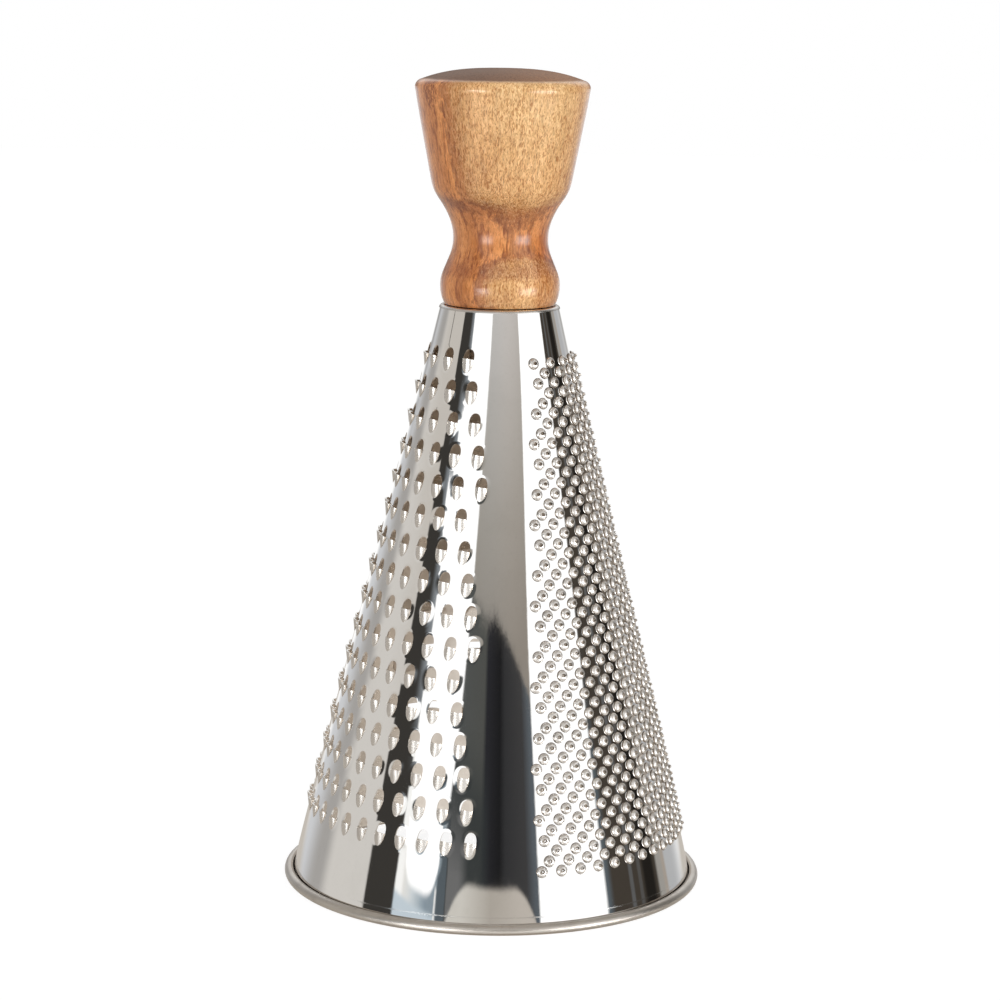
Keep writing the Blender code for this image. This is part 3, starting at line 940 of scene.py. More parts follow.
class Sheet:
    """Flat drawing of one face of the unrolled sheet, which closes round the stamped forms."""

    def __init__(self) -> None:
        """Start with nothing drawn."""
        self.flat: list[Pair] = []
        self.vertices: list[int] = []
        self.lines: list[tuple[int, int]] = []
        self.loops: list[list[int]] = []

    def points(self, flat: np.ndarray, vertices: list[int]) -> list[int]:
        """Add points with the mesh vertices that they stand for, and return their numbers."""
        first = len(self.flat)
        self.flat.extend(map(tuple, flat.tolist()))
        self.vertices.extend(vertices)
        return list(range(first, len(self.flat)))

    def line(self, numbers: list[int], closed: bool = False) -> None:
        """Add lines through points."""
        ends = numbers[1:] + numbers[:1] if closed else numbers[1:]
        self.lines.extend(zip(numbers, ends))

    def loop(self, flat: np.ndarray, vertices: list[int]) -> None:
        """Leave out the inside of a loop."""
        numbers = self.points(flat, vertices)
        self.line(numbers, True)
        self.loops.append(numbers)

    def faces(self) -> list[tuple[int, ...]]:
        """Fill the drawing with triangles.

        Returns:
            Triangles of mesh vertices, without those inside a loop.
        """
        result = delaunay_2d_cdt([Vector(place) for place in self.flat], self.lines, [], 0, math.ulp(1.0))
        sources = result[3]
        home = {number: (index, place) for index, loop in enumerate(self.loops)
                for place, number in enumerate(loop)}
        kept = []
        for face in result[2]:
            numbers = [sources[corner][0] for corner in face]
            owners = [home.get(number) for number in numbers]
            if None not in owners and len({owner[0] for owner in owners}) == 1:
                ordered = [number for _, number in sorted(zip((owner[1] for owner in owners), numbers))]
                (ax, ay), (bx, by), (cx, cy) = (self.flat[number] for number in ordered)
                if (bx - ax) * (cy - ay) - (by - ay) * (cx - ax) > 0.0:
                    continue
            corners = tuple(dict.fromkeys(self.vertices[number] for number in numbers))
            if len(corners) == 3:
                kept.append(corners)
        return kept


@dataclass
class GratingCone:
    """Rolled and welded cone with its teeth, points and slots, its top flange and its curled hem."""

    sheet: float = 0.0005
    height: float = 0.1795
    foot_radius: float = 0.0625
    top_radius: float = 0.01825
    shoulder_radius: float = 0.0012
    mouth_radius: float = 0.0135
    hem_radius: float = 0.0016
    hem_gap: float = 0.0005
    lip_steps: int = 3
    seam_angle: float = 120.0
    steps: int = 144
    grid_gap: float = 0.0058
    foot_band: float = 0.015
    flare_reach: float = 0.016
    flare_tilt: float = 2.2
    flare_fade: float = 0.10
    curl_points: int = 26
    shoulder_points: int = 9
    seed: int = 11
    press: Pair = (0.92, 1.06)
    weld_width: float = 0.0012
    weld_rise: float = 0.00010
    weld_sink: float = 0.00003
    weld_depth: float = 0.0002
    weld_wave: float = 0.12
    weld_beat: float = 2.4
    weld_top: float = 0.001
    weld_foot: float = 0.0035
    weld_rows: int = 60
    weld_columns: int = 9
    tooth_zone: Zone = Zone(-2.0, -114.6, near_edge=0.0035, far_edge=0.0070, pitch=0.00726, row_pitch=0.00956,
                            top=0.01498, turn=2.5, tilt=-6.0, first=0.00859, shift=0.001253)
    point_zone: Zone = Zone(5.4, 118.0, near_edge=0.0082, far_edge=0.0070, pitch=0.00615, row_pitch=0.003015,
                            top=0.01616, turn=45.0, first=0.00874, shift=0.002319)
    slot_zone: Zone = Zone(-234.6, -122.0, near_edge=0.016, far_edge=0.016, pitch=0.0255, row_pitch=0.0212,
                           top=0.0162, turn=0.3)

    def __post_init__(self) -> None:
        """Work out the cone's directions and the circles of its hem and shoulder."""
        self.half_angle = math.atan((self.foot_radius - self.top_radius) / self.height)
        self.sine = math.sin(self.half_angle)
        self.cosine = math.cos(self.half_angle)
        self.apex = self.foot_radius / math.tan(self.half_angle)
        self.top_slant = self.top_radius / self.sine
        self.foot_slant = self.foot_radius / self.sine
        self.hem_inner = self.hem_radius - self.sheet
        self.hem_height = self.hem_radius
        self.hem_slant = (self.apex - self.hem_height + self.hem_inner * self.sine) / self.cosine
        self.hem_centre = self.hem_slant * self.sine + self.hem_inner * self.cosine
        self.shoulder_height = self.height - self.shoulder_radius
        drop = self.apex - self.shoulder_height - self.shoulder_radius * self.sine
        self.shoulder_slant = drop / self.cosine
        self.shoulder_centre = self.shoulder_slant * self.sine - self.shoulder_radius * self.cosine
        self.random = random.Random(self.seed)

    def flare(self, slants: np.ndarray) -> tuple[np.ndarray, np.ndarray]:
        """Slight bulge above the hem, where the sheet turns a little more upright.

        Args:
            slants: Slants of the places.

        Returns:
            The bulge out of the cone, and its slope up the slant.
        """
        tilt = math.radians(self.flare_tilt)
        above = np.clip(self.hem_slant - slants, 0.0, None)
        near = np.minimum(above, self.flare_reach)
        most = tilt * self.flare_reach / 2
        fade = np.clip((above - self.flare_reach) / self.flare_fade, 0.0, 1.0)
        level = (1.0 + np.cos(math.pi * fade)) / 2
        bulge = tilt * (near - near ** 2 / (2 * self.flare_reach)) * level
        fall = -most * math.pi / (2 * self.flare_fade) * np.sin(math.pi * fade)
        slope = np.where(above < self.flare_reach, tilt * (1.0 - near / self.flare_reach), fall)
        return bulge, slope

    def rolled(self, angles: np.ndarray, slants: np.ndarray, rises: np.ndarray | float) -> np.ndarray:
        """Places on the cone of places on the flat sheet."""
        out = self.flare(slants)[0] + rises
        radii = slants * self.sine + out * self.cosine
        return turned(angles, radii, self.apex - slants * self.cosine + out * self.sine)

    def normals(self, angles: np.ndarray, slants: np.ndarray, way: float) -> np.ndarray:
        """Exact normals of the plain sheet, outward for way 1 and inward for way -1."""
        slope = self.flare(slants)[1]
        across = self.cosine + slope * self.sine
        up = self.sine - slope * self.cosine
        size = np.hypot(across, up)
        return way * turned(angles, across / size, up / size)

    def flat(self, angles: np.ndarray, slants: np.ndarray) -> np.ndarray:
        """Flat drawing's places, in which a small form keeps its shape."""
        return np.stack([angles * self.sine, -np.log(slants / self.hem_slant)], axis=-1)

    def places(self, zone: Zone, length: float) -> list[Pair]:
        """Places of a zone's cutters, between the cone's top and its foot band.

        Args:
            zone: The zone.
            length: How far a cutter reaches down the slant.

        Returns:
            Pairs of angle in radians and slant, row by row.
        """
        places = []
        row = 0
        slant = self.top_slant + zone.top
        while slant + length <= self.foot_slant - self.foot_band:
            radius = slant * self.sine
            width = zone.width(radius)
            first = (width - int(width / zone.pitch) * zone.pitch) / 2
            if zone.first is not None:
                first = (zone.first - row * zone.shift - zone.near_edge) % zone.pitch
            for column in range(int((width - first) / zone.pitch) + 1):
                places.append((zone.angle(radius, zone.near_edge + first + column * zone.pitch), slant))
            row += 1
            slant += zone.row_pitch
        return places

    def strike(self, draft: Draft, faces: tuple[Sheet, Sheet], stamp: Stamp, places: list[Pair],
               zone: Zone) -> None:
        """Put a stamped form at each place.

        Args:
            draft: Draft of the cone.
            faces: Flat drawings of the outer and the inner face.
            stamp: The form.
            places: Pairs of angle and slant.
            zone: Zone of the places.
        """
        form = np.array(stamp.points)
        inner = np.zeros(len(form), bool)
        inner[stamp.inner] = True
        outer = np.zeros(len(form), bool)
        outer[stamp.outer] = True
        for angle, slant in places:
            lean = math.radians(zone.tilt + self.random.uniform(-zone.turn, zone.turn))
            press = self.random.uniform(*self.press)
            across = form[:, 0] * math.cos(lean) - form[:, 1] * math.sin(lean)
            up = form[:, 0] * math.sin(lean) + form[:, 1] * math.cos(lean)
            rises = np.where(form[:, 2] > 0.0, form[:, 2] * press, form[:, 2])
            slants = slant - up
            angles = angle + across / (slants * self.sine)
            exact = np.where(outer[:, None], self.normals(angles, slants, 1.0), 0.0)
            exact = np.where(inner[:, None], 0.0, exact)
            first = draft.add(self.rolled(angles, slants, rises), exact)
            for corners, finish in stamp.faces:
                draft.face(tuple(first + corner for corner in corners), finish)
            flat = self.flat(angles, slants)
            faces[0].loop(flat[stamp.outer], [first + number for number in stamp.outer])
            faces[1].loop(flat[stamp.inner], [first + number for number in stamp.inner])

    def open_grid(self, kinds: list[tuple[list, float, float, float]]) -> np.ndarray:
        """Grid of angle steps and slants that stays clear of the stamped forms.

        Args:
            kinds: For each kind, its pairs of angle and slant, and how far it reaches across, up and down.

        Returns:
            Rows of step number and slant.
        """
        reach = self.hem_slant - self.shoulder_slant
        levels = int(reach / self.grid_gap)
        slants = self.shoulder_slant + (np.arange(1, levels) / levels) * reach
        grid = np.array([(step, slant) for step in range(0, self.steps + 1, 2) for slant in slants])
        angles = self.angles()[grid[:, 0].astype(int)]
        clear = np.ones(len(grid), bool)
        for places, across, above, below in kinds:
            spots = np.array(places)
            gap = (angles[:, None] - spots[None, :, 0]) * grid[:, 1][:, None] * self.sine
            rise = spots[None, :, 1] - grid[:, 1][:, None]
            hit = (np.abs(gap) < across) & (rise < above) & (rise > -below)
            clear &= ~hit.any(axis=1)
        return grid[clear]

    def angles(self) -> np.ndarray:
        """Angles of the cone's rings in radians, from the seam once round to the seam again."""
        start = math.radians(self.seam_angle) - math.tau
        return start + math.tau * np.arange(self.steps + 1) / self.steps

    def plain(self, draft: Draft, drawing: Sheet, grid: np.ndarray, depth: float) -> list[list[int]]:
        """Draw the plain part of one face of the sheet.

        Args:
            draft: Draft of the cone.
            drawing: Flat drawing of that face.
            grid: Rows of step number and slant.
            depth: Depth of the face below the outer one.

        Returns:
            Vertices of the ring at the shoulder and of the ring at the hem.
        """
        angles = self.angles()
        way = -1.0 if depth else 1.0
        rings = []
        for slant in (self.shoulder_slant, self.hem_slant):
            slants = np.full(self.steps, slant)
            places = self.rolled(angles[:-1], slants, -depth)
            first = draft.add(places, self.normals(angles[:-1], slants, way))
            vertices = list(range(first, first + self.steps))
            flat = self.flat(angles, np.full(self.steps + 1, slant))
            numbers = drawing.points(flat, vertices + vertices[:1])
            drawing.line(numbers)
            rings.append(vertices)
        steps = grid[:, 0].astype(int)
        seam = steps == self.steps
        body = grid[~seam]
        turns = angles[body[:, 0].astype(int)]
        first = draft.add(self.rolled(turns, body[:, 1], -depth), self.normals(turns, body[:, 1], way))
        drawing.points(self.flat(turns, body[:, 1]), list(range(first, first + len(body))))
        starts = {slant: first + row for row, (step, slant) in enumerate(body) if step == 0}
        twins = [slant for slant in grid[seam][:, 1] if slant in starts]
        flat = self.flat(np.full(len(twins), angles[-1]), np.array(twins))
        drawing.points(flat, [starts[slant] for slant in twins])
        for corners in drawing.faces():
            draft.face(corners, Face.INSIDE if depth else Face.POLISHED)
        return rings

    def folds(self, draft: Draft, outer: list[int], inner: list[int], profile: list) -> None:
        """Join the two faces of the sheet through a folded profile.

        Args:
            draft: Draft of the cone.
            outer: Ring of the outer face.
            inner: Ring of the inner face.
            profile: Points of radius and height, each with the finish of the band before it.
        """
        angles = self.angles()[:-1]
        last = outer
        finish = Face.POLISHED
        for radius, height, finish in profile:
            first = draft.add(turned(angles, radius, height))
            ring = list(range(first, first + self.steps))
            draft.bridge(last, ring, finish)
            last = ring
        draft.bridge(last, inner, finish)

    def hem(self) -> list:
        """Curl of the hem, from the cone's outer face round to its inner face."""
        start = math.pi + self.half_angle
        end = self.half_angle + math.tau + math.acos((self.hem_gap - self.hem_inner) / self.hem_radius)
        turns = np.linspace(start, end, self.curl_points)[1:]
        inside = arc(self.hem_centre, self.hem_height, self.hem_inner, turns)
        outside = arc(self.hem_centre, self.hem_height, self.hem_radius, turns[::-1])
        # The inside of the curl and the lip's first steps take the dark crease steel, painted shade in the
        # gap under the curl
        lip = [(*point, Face.CREASED) for point in inside + outside[:self.lip_steps]]
        return lip + [(*point, Face.HEM) for point in outside[self.lip_steps:]]

    def shoulder(self) -> list:
        """Shoulder and top flange, from the cone's outer face round to its inner face."""
        turns = np.linspace(self.half_angle, math.pi / 2, self.shoulder_points)[1:]
        centre = self.shoulder_centre
        outside = arc(centre, self.shoulder_height, self.shoulder_radius, turns)
        inside = arc(centre, self.shoulder_height, self.shoulder_radius - self.sheet, turns[::-1])
        mouth = self.mouth_radius
        flange = [(mouth, self.height, Face.DRAWN), (mouth, self.height - self.sheet, Face.SHEARED)]
        flange = [(*point, Face.DRAWN) for point in outside] + flange
        return flange + [(*point, Face.INSIDE) for point in inside]

    def build(self) -> bpy.types.Object:
        """Build the cone.

        Returns:
            The cone as one object.
        """
        draft = Draft()
        draft.punched = [Face.DRAWN, Face.SHEARED, Face.PUNCHED, Face.CREASED, Face.GROOVED]
        faces = (Sheet(), Sheet())
        tooth = Scoop(self.sheet, half_width=0.00180, hole_height=0.0031, length=0.0042, rise=0.0014)
        point = Point(self.sheet, radius=0.00167, rise=0.0018)
        slot = Scoop(self.sheet, half_width=0.0090, hole_height=0.0032, length=0.0060, rise=0.0015,
                     hole_corner=0.30, base_power=5.0, base_corner=0.30, arch_power=6.0,
                     hole_steps=22, columns=18)
        kinds = []
        for zone, cutter in ((self.tooth_zone, tooth), (self.point_zone, point), (self.slot_zone, slot)):
            places = self.places(zone, cutter.length)
            self.strike(draft, faces, cutter.stamp(), places, zone)
            kinds.append((places, *cutter.reach()))
        grid = self.open_grid(kinds)
        outer_top, outer_hem = self.plain(draft, faces[0], grid, 0.0)
        inner_top, inner_hem = self.plain(draft, faces[1], grid, self.sheet)
        self.folds(draft, outer_hem, inner_hem, self.hem())
        self.folds(draft, outer_top, inner_top, self.shoulder())
        counts = [len(places) for places, *_ in kinds]
        log.info("cone: %d teeth, %d points, %d slots, %d faces", *counts, len(draft.faces))
        return draft.piece("steel_cone", [SHEET_FINISHES[face].material() for face in Face])

    def build_weld(self) -> bpy.types.Object:
        """Build the low weld bead down the seam.

        Returns:
            The bead as one object.
        """
        draft = Draft()
        top = self.shoulder_slant + self.weld_top
        levels = np.linspace(top, self.hem_slant - self.weld_foot, self.weld_rows)
        shares = np.linspace(-1.0, 1.0, self.weld_columns)
        runs = []
        for row, slant in enumerate(levels):
            wave = 1.0 + self.weld_wave * math.sin(row * self.weld_beat)
            reach = shares * self.weld_width / 2 * wave
            heights = self.weld_rise * (1.0 - shares ** 2) * wave - self.weld_sink
            slants = np.full(len(shares), slant)
            angles = math.radians(self.seam_angle) + reach / (slant * self.sine)
            first = draft.add(self.rolled(angles, slants, heights))
            draft.add(self.rolled(angles[::-1][1:-1], slants[2:], -self.weld_depth))
            runs.append(list(range(first, draft.count)))
        for first, second in zip(runs, runs[1:]):
            draft.bridge(first, second)
        draft.face(tuple(runs[0]))
        draft.face(tuple(runs[-1]))
        return draft.piece("cone_weld", [SHEET_FINISHES[Face.SHEARED].material()])

    def dress(self) -> None:
        """Build the cone's pieces and set them in the frame."""
        cone = self.build()
        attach(cone, "root")
        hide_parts("grating_cone")
        weld = self.build_weld()
        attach(weld, "root")


@dataclass
class Handle:
    """Turned wooden handle with a spigot and a bore at its foot."""

    foot: float = 0.1798
    mouth_radius: float = 0.0135
    flange_underside: float = 0.1790
    gap: float = 0.0003
    insert_radius: float = 0.0040
    insert_length: float = 0.0130
    insert_flange: float = 0.0012
    flange_radius: float = 0.0060
    drill_relief: float = 0.0020
    steps: int = 128
    outline: tuple[Pair, ...] = (
        (0.0000, 0.01690), (0.0008, 0.01730), (0.0024, 0.01785), (0.0045, 0.01818), (0.0066, 0.01820),
        (0.0088, 0.01775), (0.0110, 0.01690), (0.0134, 0.01590), (0.0158, 0.01500), (0.0182, 0.01452),
        (0.0206, 0.01445), (0.0230, 0.01475), (0.0254, 0.01545), (0.0278, 0.01650), (0.0302, 0.01790),
        (0.0326, 0.01950), (0.0346, 0.02055), (0.0366, 0.02115), (0.0400, 0.02185), (0.0450, 0.02280),
        (0.0500, 0.02375), (0.0550, 0.02470), (0.0600, 0.02562), (0.0640, 0.02630))
    outline_steps: int = 3
    top_round: float = 0.0026
    round_out: float = 0.0002
    round_height: float = 0.0650
    round_angle: float = 78.0
    round_points: int = 9
    top_height: float = 0.0709
    dome_power: float = 2.8
    dome_share: float = 0.96
    dome_points: int = 16

    def profile(self) -> Profile:
        """Profile of radius and height above the handle's foot, from the bore's end to the top."""
        spigot = self.mouth_radius - self.gap
        low = self.flange_underside - self.foot
        recess = self.flange_radius + self.gap
        recess_top = low + self.insert_flange + self.gap
        bore = self.insert_radius + self.gap
        end = low + self.insert_length + self.drill_relief
        line = [(0.0, end), (bore, end), (bore, recess_top), (recess, recess_top), (recess, low)]
        line += [(spigot, low), (spigot, 0.0)]
        line += smooth_line(self.outline, self.outline_steps)
        centre = self.outline[-1][1] + self.round_out - self.top_round
        turns = np.linspace(0.0, math.radians(self.round_angle), self.round_points)
        line += arc(centre, self.round_height, self.top_round, turns)
        radius, height = line[-1]
        for share in np.linspace(self.dome_share, 0.0, self.dome_points):
            drop = (self.top_height - height) * float(share) ** self.dome_power
            line.append((radius * float(share), self.top_height - drop))
        return line

    def dress(self) -> None:
        """Build the handle and set it in the frame."""
        draft = Draft()
        lathe(draft, [(radius, self.foot + height) for radius, height in self.profile()], self.steps)
        handle = draft.piece("wooden_handle", [Wood().material()])
        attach(handle, "root")
        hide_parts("handle")


@dataclass
class Fastening:
    """Screw, washer, plate and threaded insert that hold the handle to the cone."""

    finishes: dict[str, Steel] = field(default_factory=lambda: {
        "handle_insert": Steel("turned_brass", (0.80, 0.58, 0.27), (0.62, 0.42, 0.17), 0.24, 0.12,
                               0.000006, 0.0002, Axis.ROUND),
        "clamp_plate": Steel("zinc_plate", (0.62, 0.62, 0.63), (0.48, 0.48, 0.50), 0.34, 0.16,
                             0.000006, 0.0005, Axis.NONE),
        "spring_washer": Steel("spring_steel", (0.36, 0.36, 0.37), (0.24, 0.23, 0.23), 0.38, 0.14,
                               0.000006, 0.0003, Axis.ROUND),
        "handle_screw": Steel("screw_steel", (0.60, 0.60, 0.61), (0.46, 0.46, 0.47), 0.26, 0.14,
                              0.000005, 0.0003, Axis.ROUND),
    })

    def dress(self) -> None:
        """Give the fastening's CAD solids their finishes."""
        for name, finish in self.finishes.items():
            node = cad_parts[name]
            node.data.materials.clear()
            node.data.materials.append(finish.material())
            log.info("fastening: %s keeps its CAD shape", name)


# Studio


@dataclass
class Reflections:
    """Studio that the polished steel sees: lamp boxes, dark flags and the room, by direction.

    Azimuths and elevations are in degrees. A name that ends in stops holds a ramp's places and colours.
    """

    tree: Tree
    lamp: Colour = (1.18, 1.18, 1.18)
    core: Colour = (9.0, 9.0, 9.0)
    backdrop: Colour = (1.05, 1.05, 1.05)
    haze: Colour = (0.62, 0.63, 0.65)
    wall_far: Colour = (0.39, 0.375, 0.36)
    wall: Colour = (0.565, 0.53, 0.485)
    wall_low: Colour = (0.64, 0.615, 0.58)
    flag: Colour = (0.042, 0.039, 0.035)
    flag_edge: Colour = (0.24, 0.26, 0.28)
    far_side: Colour = (0.24, 0.225, 0.21)
    far_flag: Colour = (0.056, 0.047, 0.038)
    far_flag_core: Colour = (0.016, 0.014, 0.012)
    far_flag_stripe: Colour = (0.11, 0.11, 0.11)
    far_flag_foot: Colour = (0.10, 0.12, 0.135)
    past_stripes: Stops = (
        (112.0, (0.34, 0.325, 0.30)), (118.0, (0.38, 0.335, 0.29)), (122.0, (0.46, 0.465, 0.475)))
    past_soft: float = 3.0
    right_shade: Colour = (0.13, 0.11, 0.09)
    floor: Colour = (0.98, 0.965, 0.94)
    floor_side: Colour = (0.56, 0.52, 0.47)
    under: Colour = (0.46, 0.395, 0.335)
    ceiling: Colour = (0.50, 0.465, 0.43)
    foot_low: Colour = (0.56, 0.64, 0.70)
    foot_seam: Colour = (0.85, 0.85, 0.84)
    foot_stops: Stops = (
        (0.27, (0.99, 0.99, 0.97)), (0.31, (0.98, 0.97, 0.95)), (0.36, (0.80, 0.79, 0.76)),
        (0.46, (0.72, 0.74, 0.74)), (0.53, (0.62, 0.67, 0.70)), (0.68, (0.37, 0.44, 0.49)),
        (0.77, (0.25, 0.31, 0.36)), (1.0, (0.26, 0.31, 0.345)))
    room_stops: Stops = (
        (0.0, (0.270, 0.248, 0.218)), (0.35, (0.355, 0.335, 0.305)), (1.0, (0.55, 0.535, 0.52)))
    room_warm: Colour = (1.06, 1.03, 1.01)
    screen_stops: Stops = (
        (0.0, (0.13, 0.145, 0.16)), (0.08, (0.085, 0.09, 0.088)), (0.38, (0.080, 0.082, 0.076)),
        (0.42, (0.024, 0.024, 0.028)), (0.58, (0.013, 0.013, 0.014)), (0.64, (0.034, 0.034, 0.036)),
        (0.85, (0.050, 0.049, 0.050)), (0.93, (0.10, 0.115, 0.13)))
    screen_low: Colour = (0.034, 0.039, 0.040)
    screen_side: Colour = (0.155, 0.155, 0.155)
    screen_edge: Colour = (0.095, 0.115, 0.13)
    table_stops: Stops = (
        (0.22, (0.62, 0.595, 0.545)), (0.50, (0.42, 0.385, 0.34)), (0.80, (0.52, 0.475, 0.425)))
    soft: float = 0.8
    dark_soft: float = 1.2

    def __post_init__(self) -> None:
        """Work out the azimuth and the elevation, and how the uprights lean."""
        right, away, up = self.tree.parts(self.tree.value("ShaderNodeTexCoord", None, "Generated"))
        self.around = right.arctangent(away * -1.0) * math.degrees(1.0)
        self.height = up.arcsine() * math.degrees(1.0)
        self.low = self.height.rise(6.0, 20.0)
        self.dark_left = 70.0 + 19.0 * self.low

    def colour(self) -> Value:
        """Colour of the studio by direction.

        Returns:
            The colour.
        """
        mix = self.tree.mix
        around = self.around
        height = self.height
        below = height * -1.0
        strip_left = (-44.9 + 1.52 * height).most(-31.6)
        strip_right = 28.0 + 8.0 * height.rise(14.0, 21.0)
        narrowed = 1.0 - abs(height - 14.4).rise(0.3, 1.0)
        flag_left = -77.0 + 9.0 * self.low
        flag_right = -57.5 + 6.0 * self.low - 4.5 * narrowed + 4.0 * height.rise(16.4, 17.4)
        faded = (around - flag_right).rise(-7.0, -0.5) * height.rise(9.0, 12.0)
        colour = self.tree.layered(self.backdrop, [
            ((around + 162.0).rise(0.0, 14.0), self.haze),
            ((around + 146.0).rise(0.0, 24.0), self.wall_far),
            ((around + 118.0).rise(0.0, 12.0), mix(height.rise(6.0, 13.0), self.wall_low, self.wall)),
            ((1.0 - abs(around + 94.0).rise(0.3, 0.9)) * height.rise(11.7, 12.0), self.flag)])
        uprights = ((flag_left, self.soft, mix(faded, self.flag, self.flag_edge)),
                    (flag_right, self.soft, self.left_box()), (strip_left, self.soft, self.strip()),
                    (strip_right, self.soft, self.lamp), (self.dark_left, self.dark_soft, self.right_flag()))
        for edge, soft, after in uprights:
            colour = mix((around - edge).rise(-soft, soft), colour, after)
        past = around - 7.0 * self.low
        for start, stripe in self.past_stripes:
            colour = mix(past.rise(start, start + self.past_soft), colour, stripe)
        shaded = around.rise(110.0, 114.0) * (1.0 - around.rise(158.0, 172.0)) * height.rise(0.0, 3.0)
        shaded = shaded * (7.4 - 0.22 * (around - 113.0) - height).rise(-0.5, 0.5)
        behind = abs(around).rise(136.0, 156.0) * height.rise(-2.0, 1.0) * (1.0 - height.rise(8.0, 14.0))
        ground = mix(abs(around).rise(40.0, 80.0), self.floor, self.floor_side)
        ground = mix(below.rise(48.0, 60.0), ground, self.under)
        left_core = 1.0 - abs(around + 33.0).rise(10.0, 15.0)
        right_core = 1.0 - abs(around - 56.0).rise(14.0, 20.0)
        core = left_core.most(right_core) * height.rise(-18.0, -12.0) * (1.0 - height.rise(-3.0, 0.5))
        return self.tree.layered(colour, [
            (around.rise(132.0, 160.0), self.backdrop), (shaded, self.right_shade), (behind, self.far_side),
            (height.rise(38.0, 46.0), self.ceiling), (below.rise(9.0, 12.0), ground), (core, self.core)])

    def left_box(self) -> Value:
        """Colour of the left lamp box, whose foot mirrors the table.

        Returns:
            The colour.
        """
        around = self.around
        height = self.height
        foot = self.tree.ramp((around + 64.0) / 34.0, self.foot_stops)
        seam = (1.0 - abs(around + 32.2).rise(0.2, 0.9)) * (1.0 - height.rise(7.4, 8.4))
        turn = around + 43.0
        curve = 6.7 + (0.00017 * turn * turn * turn * turn).least(4.5)
        return self.tree.layered(foot, [
            ((height * -1.0).rise(-5.6, -4.8), self.foot_low), (seam, self.foot_seam),
            ((height - curve).rise(-0.5, 0.5), self.lamp)])

    def right_flag(self) -> Value:
        """Colour of the dark flag at the right, with two pale stripes.

        Returns:
            The colour.
        """
        around = self.around
        stripe = 0.6 * (1.0 - abs(around - 97.0).rise(0.8, 2.0))
        stripe = (1.0 - abs(around - 89.5).rise(0.8, 2.0)).most(stripe)
        edge = (1.0 - (around - self.dark_left).rise(1.0, 6.0)) * (1.0 - self.height.rise(7.0, 10.0))
        return self.tree.layered(self.far_flag_core, [
            (abs(around - 105.0).rise(3.0, 7.0), self.far_flag), (stripe, self.far_flag_stripe),
            (edge, self.far_flag_foot)])

    def strip(self) -> Value:
        """Colour between the two lamp boxes, where the camera stands.

        Returns:
            The colour.
        """
        around = self.around
        height = self.height
        room = self.tree.ramp((height - 15.0) / 6.5, self.room_stops)
        room = self.tree.mix(around.rise(-12.0, 20.0), room, self.room_warm, "MULTIPLY")
        shares = (around + 30.0) / 60.0
        lower = (1.0 - height.rise(11.6, 13.8)) * (1.0 - around.rise(-6.0, 0.0))
        near_box = (1.0 - height.rise(9.5, 12.5)) * (1.0 - around.rise(-20.0, -13.0))
        left = (around * -1.0).most(0.0)
        right = around.most(0.0)
        edge = 15.92 - 0.006 * left - 0.022 * right - 0.0021 * right * right
        slope = (abs(around - 0.5) - 12.5).most(0.0)
        top = 9.35 - 0.01 * around - 0.0233 * slope * slope
        return self.tree.layered(self.tree.ramp(shares, self.screen_stops), [
            (lower * 0.8, self.screen_low), (near_box * around.rise(-26.6, -25.4), self.screen_side),
            (near_box * (1.0 - around.rise(-27.0, -26.0)), self.screen_edge),
            ((height - edge).rise(-0.10, 0.10), room),
            ((top - height).rise(-0.25, 0.60), self.tree.ramp(shares, self.table_stops))])


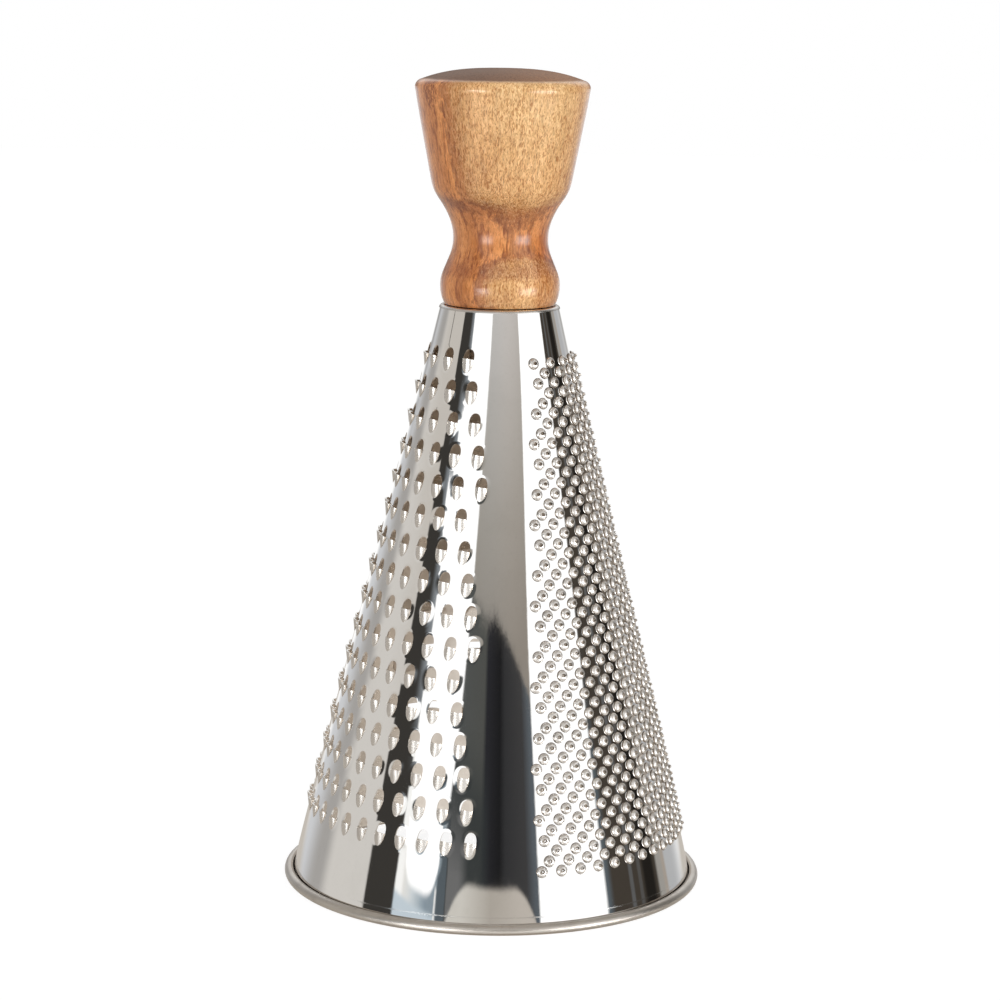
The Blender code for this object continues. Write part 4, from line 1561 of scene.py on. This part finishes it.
@dataclass
class Studio:
    """Floor, light and camera."""

    camera_distance: float = 0.8994
    camera_height: float = 0.2759
    pitch_radians: float = 0.172773
    roll_radians: float = 0.015105
    focal_pixels: float = 2963.15
    centre_pixels: float = 496.7
    image_pixels: float = 1000.0
    sensor: float = 36.0
    near_clip: float = 0.05
    far_clip: float = 50.0
    floor_half: float = 4.0
    floor_steps: int = 64
    floor_drop: float = 0.00002
    floor_share: float = 0.70
    floor_glow: float = 1.27
    paper: Colour = (0.66, 0.66, 0.66)
    paper_shade: Colour = (0.64, 0.64, 0.64)
    lamps: tuple[tuple[str, float, float], ...] = (("left_lamp", -34.0, 0.42), ("right_lamp", 56.0, 0.55))
    lamp_height: float = 13.0
    lamp_radiance: float = 5.5
    lamp_aim: float = 0.13
    lamp_distance: float = 1.30
    level: float = 0.60
    backdrop: Colour = (1.0, 1.0, 1.0)

    def camera(self) -> None:
        """Stand the camera where the photograph was taken."""
        data = bpy.data.cameras.new("camera")
        data.sensor_width = self.sensor
        data.lens = self.focal_pixels / self.image_pixels * self.sensor
        data.shift_x = (self.image_pixels / 2 - self.centre_pixels) / self.image_pixels
        data.clip_start = self.near_clip
        data.clip_end = self.far_clip
        camera = bpy.data.objects.new("camera", data)
        spin = Matrix.Rotation(self.roll_radians, 4, "Z")
        tilt = Matrix.Rotation(math.pi / 2 - self.pitch_radians, 4, "X")
        stand = Matrix.Translation((0.0, -self.camera_distance, self.camera_height))
        camera.matrix_world = stand @ tilt @ spin
        bpy.context.scene.collection.objects.link(camera)
        bpy.context.scene.camera = camera

    def world(self) -> None:
        """Light the scene softly from all round, and show the studio in the steel."""
        world = bpy.data.worlds.new("studio")
        world.use_nodes = True
        tree = Tree(world.node_tree)
        glossy, seen, through = (tree.value("ShaderNodeLightPath", None, f"Is {ray} Ray")
                                 for ray in ("Glossy", "Camera", "Transmission"))
        plain = (self.level, self.level, self.level)
        colour = tree.mix(glossy, plain, Reflections(tree).colour())
        colour = tree.mix(seen.most(through), colour, self.backdrop)
        tree.close("ShaderNodeBackground", {"Color": colour}, "ShaderNodeOutputWorld")
        bpy.context.scene.world = world

    def floor(self) -> None:
        """Lay a pale floor that keeps the grater's shadow and is open from below."""
        material, tree = new_tree("pale_floor")
        camera, glossy, through = (tree.value("ShaderNodeLightPath", None, f"Is {ray} Ray")
                                   for ray in ("Camera", "Glossy", "Transmission"))
        under = tree.value("ShaderNodeNewGeometry", None, "Backfacing")
        paper = tree.mix(tree.noise(tree.place(), 0.5, 3.0), self.paper, self.paper_shade)
        matt = tree.value("ShaderNodeBsdfDiffuse", {"Color": paper})
        white = tree.value("ShaderNodeEmission", {"Color": self.backdrop, "Strength": self.floor_glow})
        clear = tree.value("ShaderNodeBsdfTransparent")
        shown = tree.value("ShaderNodeMixShader", {0: camera * self.floor_share, 1: matt, 2: white})
        tree.close("ShaderNodeMixShader", {0: glossy.most(through).most(under), 1: shown, 2: clear})
        draft = Draft()
        lathe(draft, [(0.0, 0.0), (self.floor_half, 0.0)], self.floor_steps)
        floor = draft.piece("floor", [material])
        if floor.data.polygons[0].normal.z < 0.0:
            floor.data.flip_normals()
        floor.location.z = -self.floor_drop

    def lamp(self, name: str, around: float, size: float) -> None:
        """Hang a soft lamp that looks at the grater.

        Args:
            name: Name of the lamp.
            around: Its azimuth in degrees, as the grater sees it.
            size: Side of its square.
        """
        data = bpy.data.lights.new(name, "AREA")
        data.size = size
        data.energy = self.lamp_radiance * math.pi * size ** 2
        turn = math.radians(around)
        rise = math.radians(self.lamp_height)
        way = Vector((math.sin(turn) * math.cos(rise), -math.cos(turn) * math.cos(rise), math.sin(rise)))
        lamp = bpy.data.objects.new(name, data)
        lamp.location = Vector((0.0, 0.0, self.lamp_aim)) + way * self.lamp_distance
        lamp.rotation_mode = "QUATERNION"
        lamp.rotation_quaternion = way.to_track_quat("Z", "Y")
        lamp.visible_camera = False
        lamp.visible_glossy = False
        bpy.context.scene.collection.objects.link(lamp)

    def dress(self) -> None:
        """Set up the studio."""
        self.camera()
        self.world()
        self.floor()
        for lamp in self.lamps:
            self.lamp(*lamp)
        bpy.context.scene.view_settings.view_transform = "Standard"


def main() -> None:
    """Build the grater's looks and its studio."""
    logging.basicConfig(level=logging.INFO, format="%(name)s: %(message)s")
    for part in (GratingCone(), Handle(), Fastening(), Studio()):
        part.dress()
        log.info("%s is dressed", type(part).__name__)


if __name__ == "__main__":
    main()
